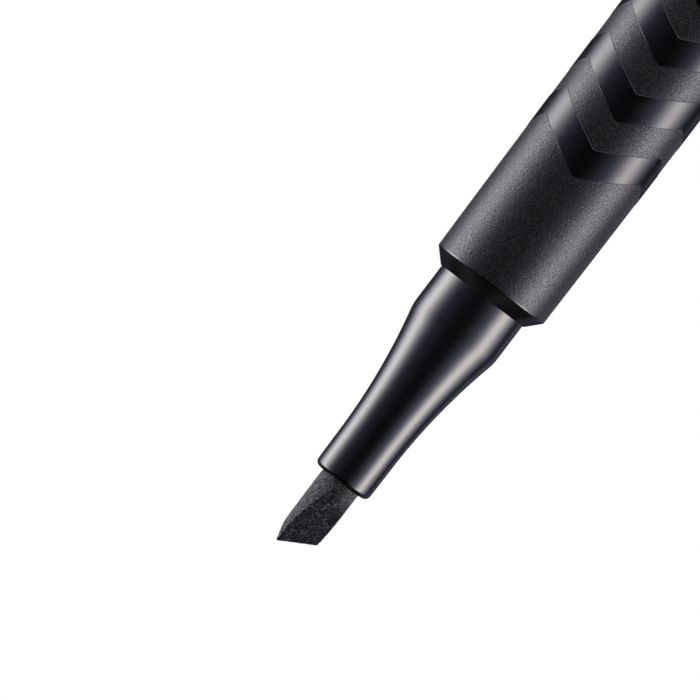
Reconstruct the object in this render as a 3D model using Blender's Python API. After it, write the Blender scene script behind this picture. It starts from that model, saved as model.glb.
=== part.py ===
"""Pen eyeliner with a felt chisel nib, its cap pushed onto the tail.

The pen stands on the closed end of its cap with the nib up. Its axis is +Z, and the origin is the
centre of the cap's end face. Ink flows straight from a tank through a finned collector and a wick
to the nib. Lengths are in metres.
"""

import math

import bmesh
import bpy
from mathutils import Matrix, Vector

MM = 0.001

# Facets round each kind of piece
OUTER_SIDES = 40
INNER_SIDES = 32
COLLECTOR_SIDES = 24
WICK_SIDES = 24
BALL_SIDES = 16
WELD = 0.001 * MM
SMOOTH_BELOW = math.radians(35)

# Clearances
PRESS_CLEARANCE = 0.05 * MM
SLIDING_CLEARANCE = 0.05 * MM
SEAT_GAP = 0.05 * MM
CAP_SEAT_GAP = 0.1 * MM
CUT_OVERRUN = 0.5 * MM

# Barrel: a slightly crowned tube with a chamfered mouth
BARREL_LENGTH = 86.0 * MM
BARREL_CROWN_RISE = 0.135 * MM
BARREL_STRAIGHT_LENGTH = 36.5 * MM
BARREL_WALL = 0.75 * MM
MOUTH_CHAMFER_LENGTH = 1.31 * MM
MOUTH_LIP_WIDTH = 0.06 * MM
MOUTH_COLLAR_LENGTH = 2.4 * MM
MOUTH_EDGE_RADIUS = 0.12 * MM
CROWN_STEPS = 4

# Nose section: the glossy neck, its flange and the skirt that houses the collector
NECK_RADIUS = 4.2 * MM
NECK_LENGTH = 19.46 * MM
NECK_TAPER_START = 3.95 * MM
NECK_SHOULDER_BLEND = 0.5 * MM
NECK_SHOULDER_SHARE = 0.25
NECK_TAPER_POWER = 2.0
NECK_TAPER_STEPS = 7
TIP_WALL = 0.85 * MM
TIP_LENGTH = 3.16 * MM
TIP_DRAFT = 0.03 * MM
TIP_EDGE_RADIUS = 0.55 * MM
TIP_EDGE_STEPS = 4
NOSE_FLANGE_THICKNESS = 1.2 * MM
NOSE_SKIRT_LENGTH = 20.5 * MM
NOSE_SKIRT_WALL = 0.6 * MM
NOSE_SKIRT_LEAD_IN = 0.3 * MM
NOSE_GUIDE_LENGTH = 7.0 * MM
NOSE_VENTS = 3
NOSE_VENT_WIDTH = 0.6 * MM
NOSE_VENT_DEPTH = 0.22 * MM

# Nib: a round felt rod cut to a slanted chisel
NIB_RADIUS = 1.8 * MM
NIB_REACH = 6.29 * MM
NIB_EDGE_SLANT = math.radians(26.0)
NIB_FACET_ANGLE = math.radians(13.6)
NIB_TURN = math.radians(26.0)
NIB_EDGE_WIDTH = 0.2 * MM
NIB_POINT_BEVEL_LENGTH = 2.0 * MM
NIB_POINT_BEVEL_ANGLE = math.radians(9.0)
NIB_HELD_LENGTH = 5.4 * MM
NIB_TAIL_CHAMFER = 0.25 * MM

# Nib holder: a grooved sleeve behind the nib
HOLDER_WALL = 0.5 * MM
HOLDER_LENGTH = 8.86 * MM
HOLDER_GROOVES = 3
HOLDER_GROOVE_WIDTH = 0.8 * MM
HOLDER_GROOVE_DEPTH = 0.25 * MM
HOLDER_LEAD_IN = 0.2 * MM

# Wick: the fibre rod that carries ink through the collector
WICK_RADIUS = 1.15 * MM
WICK_REACH_IN_TANK = 2.0 * MM
WICK_END_CHAMFER = 0.2 * MM

# Collector: a comb of thin fins that holds surplus ink
COLLECTOR_CORE_WALL = 0.7 * MM
COLLECTOR_FINS = 16
COLLECTOR_FIN_THICKNESS = 0.6 * MM
COLLECTOR_FRONT_COLLAR = 1.4 * MM
COLLECTOR_REAR_COLLAR = 1.8 * MM
COLLECTOR_INK_SLIT = 0.35 * MM
COLLECTOR_INK_SLIT_FLOOR = 0.25 * MM
COLLECTOR_AIR_SLOT = 1.1 * MM
COLLECTOR_AIR_SLOT_FLOOR = 0.5 * MM

# Ink tank: a closed tube inside the barrel
TANK_WALL = 0.45 * MM
TANK_FLOOR = 1.0 * MM
TANK_DISH_DEPTH = 0.5 * MM
TANK_LEAD_IN = 0.2 * MM

# Mixing ball
BALL_RADIUS = 2.0 * MM

# Tail plug: closes the barrel and carries the posted cap
PLUG_SPIGOT_LENGTH = 6.0 * MM
PLUG_SPIGOT_LEAD_IN = 0.3 * MM
PLUG_BEADS = 2
PLUG_BEAD_LENGTH = 1.0 * MM
PLUG_BEAD_HEIGHT = 0.12 * MM
PLUG_STUB_LENGTH = 9.5 * MM
PLUG_STUB_EDGE_RADIUS = 0.6 * MM
PLUG_LIP_WIDTH = 0.1 * MM
PLUG_FLANGE_LAND = 0.35 * MM
PLUG_WALL = 0.7 * MM
PLUG_END_WALL = 1.2 * MM
EDGE_STEPS = 3

# Cap shell
CAP_LENGTH = 42.0 * MM
CAP_STRAIGHT_LENGTH = 3.0 * MM
CAP_WALL = 0.55 * MM
CAP_END_WALL = 1.4 * MM
CAP_END_EDGE_RADIUS = 0.8 * MM
CAP_RIM_CHAMFER = 0.2 * MM
CAP_SPRING_POST_RADIUS = 1.9 * MM
CAP_SPRING_POST_LENGTH = 3.0 * MM
CAP_POST_CHAMFER = 0.3 * MM

# Cap liner: grips the neck or the tail stub, and guides the inner cap
LINER_RECESS = 0.2 * MM
LINER_LEAD_IN = 0.4 * MM
LINER_GRIP_LENGTH = 4.0 * MM
LINER_RELIEF = 0.15 * MM
LINER_LIP_THICKNESS = 1.0 * MM
LINER_LIP_CLEARANCE = 0.35 * MM

# Inner cap: the sprung cup that seals on the tip of the nose
INNER_CAP_TRAVEL = 1.5 * MM
INNER_CAP_WALL = 0.84 * MM
INNER_CAP_WAIST = 0.35 * MM
INNER_CAP_RING_LENGTH = 2.4 * MM
INNER_CAP_SEAL_DEPTH = 2.2 * MM
INNER_CAP_SEAL_CLEARANCE = 0.03 * MM
INNER_CAP_LEAD_IN = 0.35 * MM
INNER_CAP_NIB_CLEARANCE = 0.3 * MM
INNER_CAP_HEADROOM = 0.6 * MM
INNER_CAP_END_WALL = 1.2 * MM
INNER_CAP_POST_LENGTH = 1.2 * MM

# Cap spring
SPRING_WIRE = 0.4 * MM
SPRING_POST_CLEARANCE = 0.4 * MM
SPRING_TURNS = 9
SPRING_END_TURNS = 1
SPRING_END_PITCH = 0.85 * MM
SPRING_POINTS_PER_TURN = 12
SPRING_END_GAP = 0.1 * MM

# Radii that follow, from the nib and the neck outwards
NIB_BORE_RADIUS = NIB_RADIUS + PRESS_CLEARANCE
TIP_RADIUS = NIB_BORE_RADIUS + TIP_WALL
TIP_ROOT_RADIUS = TIP_RADIUS + TIP_DRAFT
HOLDER_RADIUS = NIB_BORE_RADIUS + HOLDER_WALL
HOLDER_BORE_RADIUS = HOLDER_RADIUS + PRESS_CLEARANCE
WICK_BORE_RADIUS = WICK_RADIUS + SLIDING_CLEARANCE
NOSE_SKIRT_BORE = NECK_RADIUS - NOSE_SKIRT_WALL
COLLECTOR_RADIUS = NOSE_SKIRT_BORE - PRESS_CLEARANCE
COLLECTOR_CORE_RADIUS = WICK_BORE_RADIUS + COLLECTOR_CORE_WALL
TANK_BORE_RADIUS = NECK_RADIUS + PRESS_CLEARANCE
TANK_RADIUS = TANK_BORE_RADIUS + TANK_WALL
BARREL_BORE_RADIUS = TANK_RADIUS + PRESS_CLEARANCE
BARREL_END_RADIUS = BARREL_BORE_RADIUS + BARREL_WALL
MOUTH_BORE_RADIUS = NECK_RADIUS + PRESS_CLEARANCE
MOUTH_LIP_RADIUS = MOUTH_BORE_RADIUS + MOUTH_LIP_WIDTH
CAP_BORE_RADIUS = BARREL_END_RADIUS - CAP_WALL
LINER_RADIUS = CAP_BORE_RADIUS - PRESS_CLEARANCE
LINER_GRIP_RADIUS = NECK_RADIUS + SLIDING_CLEARANCE
LINER_RELIEF_RADIUS = LINER_GRIP_RADIUS + LINER_RELIEF
LINER_LIP_RADIUS = TIP_ROOT_RADIUS + LINER_LIP_CLEARANCE
SEAL_RADIUS = TIP_ROOT_RADIUS + INNER_CAP_SEAL_CLEARANCE
INNER_CAP_RADIUS = SEAL_RADIUS + INNER_CAP_WALL
LINER_GUIDE_RADIUS = INNER_CAP_RADIUS + SLIDING_CLEARANCE
NIB_CHAMBER_RADIUS = NIB_RADIUS + INNER_CAP_NIB_CLEARANCE
SPRING_MEAN_RADIUS = CAP_SPRING_POST_RADIUS + SPRING_POST_CLEARANCE + SPRING_WIRE / 2

# Places along the axis
NECK_TAPER_END = NECK_LENGTH - TIP_LENGTH
NIB_SEATED_LENGTH = NOSE_GUIDE_LENGTH + NIB_HELD_LENGTH
CAP_MOUTH_Z = CAP_LENGTH
TAIL_LIP_Z = CAP_MOUTH_Z + CAP_SEAT_GAP
BARREL_REAR_Z = TAIL_LIP_Z + MOUTH_CHAMFER_LENGTH + PLUG_FLANGE_LAND + SEAT_GAP
MOUTH_Z = BARREL_REAR_Z + BARREL_LENGTH
NOSE_FLANGE_FRONT_Z = MOUTH_Z - MOUTH_COLLAR_LENGTH - SEAT_GAP
NOSE_FLANGE_REAR_Z = NOSE_FLANGE_FRONT_Z - NOSE_FLANGE_THICKNESS
NOSE_REAR_Z = NOSE_FLANGE_REAR_Z - NOSE_SKIRT_LENGTH
NOSE_FRONT_Z = MOUTH_Z + NECK_LENGTH
GUIDE_REAR_Z = NOSE_FRONT_Z - NOSE_GUIDE_LENGTH
NIB_REAR_Z = NOSE_FRONT_Z - NIB_SEATED_LENGTH
HOLDER_FRONT_Z = GUIDE_REAR_Z - SEAT_GAP
HOLDER_REAR_Z = HOLDER_FRONT_Z - HOLDER_LENGTH
COLLECTOR_STOP_Z = HOLDER_REAR_Z - SEAT_GAP
COLLECTOR_FRONT_Z = COLLECTOR_STOP_Z - SEAT_GAP
PLUG_SPIGOT_TOP_Z = BARREL_REAR_Z + PLUG_SPIGOT_LENGTH
TANK_REAR_Z = PLUG_SPIGOT_TOP_Z + SEAT_GAP
TANK_FRONT_Z = NOSE_FLANGE_REAR_Z - SEAT_GAP
TANK_FLOOR_Z = TANK_REAR_Z + TANK_FLOOR
STUB_END_Z = TAIL_LIP_Z - PLUG_STUB_LENGTH
SEAL_SEAT_Z = CAP_MOUTH_Z - NECK_LENGTH + INNER_CAP_TRAVEL
INNER_CAP_MOUTH_Z = SEAL_SEAT_Z + INNER_CAP_SEAL_DEPTH
LINER_LIP_REAR_Z = INNER_CAP_MOUTH_Z + SEAT_GAP
LINER_LIP_FRONT_Z = LINER_LIP_REAR_Z + LINER_LIP_THICKNESS


def clear_scene():
    for existing in list(bpy.data.objects):
        bpy.data.objects.remove(existing, do_unlink=True)


def finish(name, colour, roughness, metallic=0.0):
    """A plain surface finish for one piece."""
    material = bpy.data.materials.new(name)
    material.use_nodes = True
    shader = material.node_tree.nodes["Principled BSDF"]
    shader.inputs["Base Color"].default_value = (*colour, 1.0)
    shader.inputs["Roughness"].default_value = roughness
    shader.inputs["Metallic"].default_value = metallic
    material.diffuse_color = (*colour, 1.0)
    return material


def place(name, mesh, material, parent=None, z=0.0):
    """Adds a piece to the scene at height z, under its parent where it has one."""
    mesh.materials.append(material)
    mesh.shade_smooth()
    mesh.set_sharp_from_angle(angle=SMOOTH_BELOW)
    piece = bpy.data.objects.new(name, mesh)
    bpy.context.scene.collection.objects.link(piece)
    piece.parent = parent
    piece.location.z = z
    return piece


def joint_empty(name, z, parent=None):
    """An empty on the pen's axis that a moving piece hangs from."""
    empty = bpy.data.objects.new(name, None)
    bpy.context.scene.collection.objects.link(empty)
    empty.parent = parent
    empty.location.z = z
    return empty


def arc(centre_radius, centre_height, radius, start, end, steps):
    """Points of an arc in the outline, from angle start to angle end, both included."""
    angles = [start + (end - start) * step / steps for step in range(steps + 1)]
    return [
        (centre_radius + radius * math.cos(angle), centre_height + radius * math.sin(angle))
        for angle in angles
    ]


def turned_bmesh(outline, sides):
    """An outline of (radius, height) points, turned about the axis into a closed solid.

    An outline that starts and ends on the axis stays open there. Any other is closed to a ring.
    """
    solid = bmesh.new()
    verts = [solid.verts.new((radius, 0, height)) for radius, height in outline]
    pairs = list(zip(verts, verts[1:]))
    meets_axis = outline[0][0] == 0 and outline[-1][0] == 0
    if not meets_axis:
        pairs.append((verts[-1], verts[0]))
    edges = [solid.edges.new(pair) for pair in pairs]
    bmesh.ops.spin(
        solid,
        geom=verts + edges,
        cent=(0, 0, 0),
        axis=(0, 0, 1),
        angle=math.tau,
        steps=sides,
        use_merge=True,
    )
    bmesh.ops.remove_doubles(solid, verts=solid.verts, dist=WELD)
    bmesh.ops.recalc_face_normals(solid, faces=solid.faces)
    return solid


def mesh_of(name, solid):
    mesh = bpy.data.meshes.new(name)
    solid.to_mesh(mesh)
    solid.free()
    return mesh


def turned(name, outline, sides):
    return mesh_of(name, turned_bmesh(outline, sides))


def add_box(solid, low, high, turn=0.0):
    """Adds a box between two corners, turned about the axis."""
    made = bmesh.ops.create_cube(solid, size=1.0)
    for vert in made["verts"]:
        for axis in range(3):
            near_share = 0.5 - vert.co[axis]
            vert.co[axis] = low[axis] * near_share + high[axis] * (1 - near_share)
    turning = Matrix.Rotation(turn, 3, "Z")
    bmesh.ops.rotate(solid, verts=made["verts"], cent=(0, 0, 0), matrix=turning)


def cut_from(piece, cutter_name, boxes, z):
    """Cuts a group of boxes, each (low, high, turn), from a piece."""
    solid = bmesh.new()
    for low, high, turn in boxes:
        add_box(solid, low, high, turn)
    bmesh.ops.recalc_face_normals(solid, faces=solid.faces)
    cutter = bpy.data.objects.new(cutter_name, mesh_of(cutter_name, solid))
    bpy.context.scene.collection.objects.link(cutter)
    cutter.location.z = z
    cutter.hide_render = True
    cutter.display_type = "WIRE"
    cut = piece.modifiers.new(cutter_name, "BOOLEAN")
    cut.operation = "DIFFERENCE"
    cut.solver = "EXACT"
    cut.object = cutter


def crowned_line(low, high, straight):
    """The outer line of a crowned tube, from its low end to its high end."""
    length = (high - low - straight) / 2
    shares = [step / CROWN_STEPS for step in range(CROWN_STEPS + 1)]
    swell = [
        (share * length, BARREL_END_RADIUS + BARREL_CROWN_RISE * (1 - (1 - share) ** 2))
        for share in shares
    ]
    lower = [(radius, low + inset) for inset, radius in swell]
    upper = [(radius, high - inset) for inset, radius in reversed(swell)]
    return lower + upper


def make_barrel(material):
    """The outer tube, with its origin in the middle of its rear end."""
    edge_height = BARREL_LENGTH - MOUTH_CHAMFER_LENGTH
    slope = math.atan2(MOUTH_CHAMFER_LENGTH, BARREL_END_RADIUS - MOUTH_LIP_RADIUS)
    shoulder = arc(
        BARREL_END_RADIUS - MOUTH_EDGE_RADIUS,
        edge_height - MOUTH_EDGE_RADIUS * math.tan((math.pi / 2 - slope) / 2),
        MOUTH_EDGE_RADIUS,
        0,
        math.pi / 2 - slope,
        EDGE_STEPS,
    )
    crown = crowned_line(0, shoulder[0][1], BARREL_STRAIGHT_LENGTH)
    outline = crown[:-1] + shoulder
    outline += [
        (MOUTH_LIP_RADIUS, BARREL_LENGTH),
        (MOUTH_BORE_RADIUS, BARREL_LENGTH),
        (MOUTH_BORE_RADIUS, BARREL_LENGTH - MOUTH_COLLAR_LENGTH),
        (BARREL_BORE_RADIUS, BARREL_LENGTH - MOUTH_COLLAR_LENGTH),
        (BARREL_BORE_RADIUS, 0),
    ]
    return place("barrel", turned("barrel", outline, OUTER_SIDES), material, z=BARREL_REAR_Z)


def neck_radius(height):
    """The neck's radius at a height above the barrel's mouth, past the shoulder."""
    share = max(0.0, (NECK_TAPER_END - height) / (NECK_TAPER_END - NECK_TAPER_START))
    return TIP_ROOT_RADIUS + (NECK_RADIUS - TIP_ROOT_RADIUS) * share**NECK_TAPER_POWER


def make_nose_section(material):
    """Neck, flange and collector housing in one moulding, with its origin at the barrel's mouth."""
    taper_start = NECK_TAPER_START + NECK_SHOULDER_BLEND
    blend_radius = neck_radius(taper_start)
    taper = [
        taper_start + (NECK_TAPER_END - taper_start) * step / NECK_TAPER_STEPS
        for step in range(NECK_TAPER_STEPS + 1)
    ]
    front_edge = arc(
        TIP_RADIUS - TIP_EDGE_RADIUS,
        NECK_LENGTH - TIP_EDGE_RADIUS,
        TIP_EDGE_RADIUS,
        0,
        math.pi / 2,
        TIP_EDGE_STEPS,
    )
    shoulder_middle = NECK_RADIUS + (blend_radius - NECK_RADIUS) * NECK_SHOULDER_SHARE
    flange_front = NOSE_FLANGE_FRONT_Z - MOUTH_Z
    flange_rear = NOSE_FLANGE_REAR_Z - MOUTH_Z
    rear = NOSE_REAR_Z - MOUTH_Z
    guide_rear = GUIDE_REAR_Z - MOUTH_Z
    collector_stop = COLLECTOR_STOP_Z - MOUTH_Z
    outline = [
        (NECK_RADIUS - NOSE_SKIRT_LEAD_IN, rear),
        (NECK_RADIUS, rear + NOSE_SKIRT_LEAD_IN),
        (NECK_RADIUS, flange_rear),
        (BARREL_BORE_RADIUS - PRESS_CLEARANCE, flange_rear),
        (BARREL_BORE_RADIUS - PRESS_CLEARANCE, flange_front),
        (NECK_RADIUS, flange_front),
        (NECK_RADIUS, NECK_TAPER_START - NECK_SHOULDER_BLEND),
        (shoulder_middle, NECK_TAPER_START),
    ]
    outline += [(neck_radius(height), height) for height in taper]
    outline += front_edge
    outline += [
        (NIB_BORE_RADIUS, NECK_LENGTH),
        (NIB_BORE_RADIUS, guide_rear),
        (HOLDER_BORE_RADIUS, guide_rear),
        (HOLDER_BORE_RADIUS, collector_stop),
        (NOSE_SKIRT_BORE, collector_stop),
        (NOSE_SKIRT_BORE, rear),
    ]
    mesh = turned("nose_section", outline, OUTER_SIDES)
    nose = place("nose_section", mesh, material, z=MOUTH_Z)
    half_width = NOSE_VENT_WIDTH / 2
    low = (NIB_RADIUS, -half_width, guide_rear - CUT_OVERRUN)
    high = (NIB_BORE_RADIUS + NOSE_VENT_DEPTH, half_width, NECK_LENGTH + CUT_OVERRUN)
    vents = [(low, high, math.tau * vent / NOSE_VENTS) for vent in range(NOSE_VENTS)]
    cut_from(nose, "nose_vent_cutter", vents, MOUTH_Z)
    return nose


def trim(solid, point, normal):
    """Cuts away what lies beyond a plane and closes the cut."""
    cut = bmesh.ops.bisect_plane(
        solid,
        geom=solid.verts[:] + solid.edges[:] + solid.faces[:],
        plane_co=point,
        plane_no=normal,
        clear_outer=True,
    )
    rim = [edge for edge in cut["geom_cut"] if isinstance(edge, bmesh.types.BMEdge)]
    bmesh.ops.holes_fill(solid, edges=rim)
    bmesh.ops.remove_doubles(solid, verts=solid.verts, dist=WELD)


def make_nib(material):
    """The felt rod, with its origin at the nose's front face.

    Two facets run up to a narrow edge that crosses the axis on a slant. The wide side faces -Y,
    turned a little towards -X. The edge reaches furthest out on the +X side, where a long bevel
    narrows the point.
    """
    blank_top = NIB_REACH + NIB_RADIUS
    outline = [
        (0, -NIB_SEATED_LENGTH),
        (NIB_RADIUS - NIB_TAIL_CHAMFER, -NIB_SEATED_LENGTH),
        (NIB_RADIUS, NIB_TAIL_CHAMFER - NIB_SEATED_LENGTH),
        (NIB_RADIUS, blank_top),
        (0, blank_top),
    ]
    solid = turned_bmesh(outline, INNER_SIDES)
    upwards = Vector((0, 0, 1))
    outward = Vector((math.cos(NIB_TURN), -math.sin(NIB_TURN), 0))
    along_edge = outward + upwards * math.tan(NIB_EDGE_SLANT)
    wide_side = Vector((-math.sin(NIB_TURN), -math.cos(NIB_TURN), 0))
    edge_point = Vector((0, 0, NIB_REACH))
    for side in (1, -1):
        facing = wide_side * side
        down_facet = facing * math.sin(NIB_FACET_ANGLE)
        down_facet.z = -math.cos(NIB_FACET_ANGLE)
        normal = along_edge.cross(down_facet)
        if normal.dot(facing) < 0:
            normal.negate()
        trim(solid, edge_point + facing * NIB_EDGE_WIDTH / 2, normal)
    trim(solid, edge_point, wide_side.cross(along_edge))
    bevel_start = outward * NIB_RADIUS
    bevel_start.z = NIB_REACH + NIB_RADIUS * math.tan(NIB_EDGE_SLANT) - NIB_POINT_BEVEL_LENGTH
    leaning = outward * math.cos(NIB_POINT_BEVEL_ANGLE) + upwards * math.sin(NIB_POINT_BEVEL_ANGLE)
    trim(solid, bevel_start, leaning)
    bmesh.ops.recalc_face_normals(solid, faces=solid.faces)
    return place("nib", mesh_of("nib", solid), material, z=NOSE_FRONT_Z)


def make_nib_holder(material):
    """A sleeve with lengthwise air grooves, with its origin at its rear end."""
    length = HOLDER_FRONT_Z - HOLDER_REAR_Z
    step = NIB_REAR_Z - SEAT_GAP - HOLDER_REAR_Z
    outline = [
        (WICK_BORE_RADIUS, 0),
        (HOLDER_RADIUS - HOLDER_LEAD_IN, 0),
        (HOLDER_RADIUS, HOLDER_LEAD_IN),
        (HOLDER_RADIUS, length),
        (NIB_BORE_RADIUS, length),
        (NIB_BORE_RADIUS, step),
        (WICK_BORE_RADIUS, step),
    ]
    holder = place(
        "nib_holder", turned("nib_holder", outline, INNER_SIDES), material, z=HOLDER_REAR_Z
    )
    half_width = HOLDER_GROOVE_WIDTH / 2
    floor = HOLDER_RADIUS - HOLDER_GROOVE_DEPTH
    low = (floor, -half_width, -CUT_OVERRUN)
    high = (HOLDER_RADIUS + CUT_OVERRUN, half_width, length + CUT_OVERRUN)
    grooves = [
        (low, high, math.tau * groove / HOLDER_GROOVES) for groove in range(HOLDER_GROOVES)
    ]
    cut_from(holder, "holder_groove_cutter", grooves, HOLDER_REAR_Z)
    return holder


def make_wick(material):
    """The fibre rod through the collector, with its origin at its rear end."""
    length = NIB_REAR_Z - SEAT_GAP - NOSE_REAR_Z + WICK_REACH_IN_TANK
    outline = [
        (0, 0),
        (WICK_RADIUS - WICK_END_CHAMFER, 0),
        (WICK_RADIUS, WICK_END_CHAMFER),
        (WICK_RADIUS, length - WICK_END_CHAMFER),
        (WICK_RADIUS - WICK_END_CHAMFER, length),
        (0, length),
    ]
    mesh = turned("feed_wick", outline, WICK_SIDES)
    return place("feed_wick", mesh, material, z=NOSE_REAR_Z - WICK_REACH_IN_TANK)


def make_collector(material):
    """The comb of fins on a hollow core, with its origin at its rear end."""
    length = COLLECTOR_FRONT_Z - NOSE_REAR_Z
    comb_start = COLLECTOR_REAR_COLLAR
    comb_length = length - COLLECTOR_FRONT_COLLAR - comb_start
    gap = (comb_length - COLLECTOR_FINS * COLLECTOR_FIN_THICKNESS) / (COLLECTOR_FINS + 1)
    outline = [
        (WICK_BORE_RADIUS, 0),
        (COLLECTOR_RADIUS, 0),
        (COLLECTOR_RADIUS, comb_start),
        (COLLECTOR_CORE_RADIUS, comb_start),
    ]
    for fin in range(COLLECTOR_FINS):
        fin_low = comb_start + gap + fin * (gap + COLLECTOR_FIN_THICKNESS)
        fin_high = fin_low + COLLECTOR_FIN_THICKNESS
        outline += [
            (COLLECTOR_CORE_RADIUS, fin_low),
            (COLLECTOR_RADIUS, fin_low),
            (COLLECTOR_RADIUS, fin_high),
            (COLLECTOR_CORE_RADIUS, fin_high),
        ]
    collar = length - COLLECTOR_FRONT_COLLAR
    outline += [
        (COLLECTOR_CORE_RADIUS, collar),
        (COLLECTOR_RADIUS, collar),
        (COLLECTOR_RADIUS, length),
        (WICK_BORE_RADIUS, length),
    ]
    collector = place(
        "collector", turned("collector", outline, COLLECTOR_SIDES), material, z=NOSE_REAR_Z
    )
    reach = COLLECTOR_RADIUS + CUT_OVERRUN
    slit_floor = WICK_BORE_RADIUS + COLLECTOR_INK_SLIT_FLOOR
    ink_slit = (
        (slit_floor, -COLLECTOR_INK_SLIT / 2, -CUT_OVERRUN),
        (reach, COLLECTOR_INK_SLIT / 2, length + CUT_OVERRUN),
        0,
    )
    slot_floor = COLLECTOR_CORE_RADIUS + COLLECTOR_AIR_SLOT_FLOOR
    air_slot = (
        (slot_floor, -COLLECTOR_AIR_SLOT / 2, comb_start - CUT_OVERRUN),
        (reach, COLLECTOR_AIR_SLOT / 2, length + CUT_OVERRUN),
        math.pi,
    )
    cut_from(collector, "collector_slot_cutter", [ink_slit, air_slot], NOSE_REAR_Z)
    return collector


def make_ink_tank(material):
    """The closed tube for the ink, with its origin at its rear end."""
    length = TANK_FRONT_Z - TANK_REAR_Z
    outline = [
        (0, 0),
        (TANK_RADIUS, 0),
        (TANK_RADIUS, length),
        (TANK_BORE_RADIUS + TANK_LEAD_IN, length),
        (TANK_BORE_RADIUS, length - TANK_LEAD_IN),
        (TANK_BORE_RADIUS, TANK_FLOOR + TANK_DISH_DEPTH),
        (BALL_RADIUS / 2, TANK_FLOOR),
        (0, TANK_FLOOR),
    ]
    return place("ink_tank", turned("ink_tank", outline, INNER_SIDES), material, z=TANK_REAR_Z)


def make_mixing_ball(material, parent):
    """The steel ball that stirs the ink, with its origin at its centre."""
    solid = bmesh.new()
    bmesh.ops.create_uvsphere(
        solid, u_segments=BALL_SIDES, v_segments=BALL_SIDES // 2, radius=BALL_RADIUS
    )
    return place("mixing_ball", mesh_of("mixing_ball", solid), material, parent)


def make_tail_plug(material):
    """Spigot, shoulder and cap stub in one moulding, with its origin at the barrel's rear end."""
    lip = TAIL_LIP_Z - BARREL_REAR_Z
    end = STUB_END_Z - BARREL_REAR_Z
    bore = NECK_RADIUS - PLUG_WALL
    bead_radius = BARREL_BORE_RADIUS - PRESS_CLEARANCE
    spigot = bead_radius - PLUG_BEAD_HEIGHT
    end_edge = arc(
        NECK_RADIUS - PLUG_STUB_EDGE_RADIUS,
        end + PLUG_STUB_EDGE_RADIUS,
        PLUG_STUB_EDGE_RADIUS,
        -math.pi / 2,
        0,
        EDGE_STEPS,
    )
    outline = [(0, end)] + end_edge
    outline += [
        (NECK_RADIUS, lip),
        (NECK_RADIUS + PLUG_LIP_WIDTH, lip),
        (BARREL_END_RADIUS, -SEAT_GAP - PLUG_FLANGE_LAND),
        (BARREL_END_RADIUS, -SEAT_GAP),
        (spigot, -SEAT_GAP),
    ]
    for bead in range(PLUG_BEADS):
        middle = PLUG_SPIGOT_LENGTH * (bead + 1) / (PLUG_BEADS + 1)
        outline += [
            (spigot, middle - PLUG_BEAD_LENGTH / 2),
            (bead_radius, middle - PLUG_BEAD_LENGTH / 4),
            (bead_radius, middle + PLUG_BEAD_LENGTH / 4),
            (spigot, middle + PLUG_BEAD_LENGTH / 2),
        ]
    outline += [
        (spigot, PLUG_SPIGOT_LENGTH - PLUG_SPIGOT_LEAD_IN),
        (spigot - PLUG_SPIGOT_LEAD_IN, PLUG_SPIGOT_LENGTH),
        (bore, PLUG_SPIGOT_LENGTH),
        (bore, end + PLUG_END_WALL),
        (0, end + PLUG_END_WALL),
    ]
    return place("tail_plug", turned("tail_plug", outline, OUTER_SIDES), material, z=BARREL_REAR_Z)


def make_cap_shell(material, parent):
    """The cap's outer cup with a post for its spring, with its origin at its closed end."""
    end_edge = arc(
        BARREL_END_RADIUS - CAP_END_EDGE_RADIUS,
        CAP_END_EDGE_RADIUS,
        CAP_END_EDGE_RADIUS,
        -math.pi / 2,
        0,
        EDGE_STEPS,
    )
    rim = CAP_LENGTH - CAP_RIM_CHAMFER
    side = crowned_line(CAP_END_EDGE_RADIUS, rim, CAP_STRAIGHT_LENGTH)
    post_top = CAP_END_WALL + CAP_SPRING_POST_LENGTH
    outline = [(0, 0)] + end_edge[:-1] + side
    outline += [
        (BARREL_END_RADIUS - CAP_RIM_CHAMFER, CAP_LENGTH),
        (CAP_BORE_RADIUS, CAP_LENGTH),
        (CAP_BORE_RADIUS, CAP_END_WALL),
        (CAP_SPRING_POST_RADIUS, CAP_END_WALL),
        (CAP_SPRING_POST_RADIUS, post_top - CAP_POST_CHAMFER),
        (CAP_SPRING_POST_RADIUS - CAP_POST_CHAMFER, post_top),
        (0, post_top),
    ]
    mesh = turned("cap_shell", outline, OUTER_SIDES)
    return place("cap_shell", mesh, material, parent, -CAP_MOUTH_Z)


def make_cap_liner(material, parent):
    """The sleeve inside the cap, with its origin in the plane of the cap's mouth."""
    front = -LINER_RECESS
    rear = CAP_END_WALL + SEAT_GAP - CAP_MOUTH_Z
    grip_end = front - LINER_LEAD_IN - LINER_GRIP_LENGTH
    lip_front = LINER_LIP_FRONT_Z - CAP_MOUTH_Z
    lip_rear = LINER_LIP_REAR_Z - CAP_MOUTH_Z
    outline = [
        (LINER_RADIUS, rear),
        (LINER_RADIUS, front),
        (LINER_GRIP_RADIUS + LINER_LEAD_IN, front),
        (LINER_GRIP_RADIUS, front - LINER_LEAD_IN),
        (LINER_GRIP_RADIUS, grip_end),
        (LINER_RELIEF_RADIUS, grip_end - LINER_RELIEF),
        (LINER_RELIEF_RADIUS, lip_front),
        (LINER_LIP_RADIUS, lip_front),
        (LINER_LIP_RADIUS, lip_rear),
        (LINER_GUIDE_RADIUS, lip_rear),
        (LINER_GUIDE_RADIUS, rear),
    ]
    return place("cap_liner", turned("cap_liner", outline, INNER_SIDES), material, parent)


def inner_cap_depths():
    """Heights below the inner cap's mouth of its seat, chamber end and rear face."""
    seat = -INNER_CAP_SEAL_DEPTH
    nib_out = NIB_REACH + NIB_RADIUS * math.tan(NIB_EDGE_SLANT)
    chamber_end = seat - nib_out - INNER_CAP_HEADROOM
    return seat, chamber_end, chamber_end - INNER_CAP_END_WALL


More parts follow.
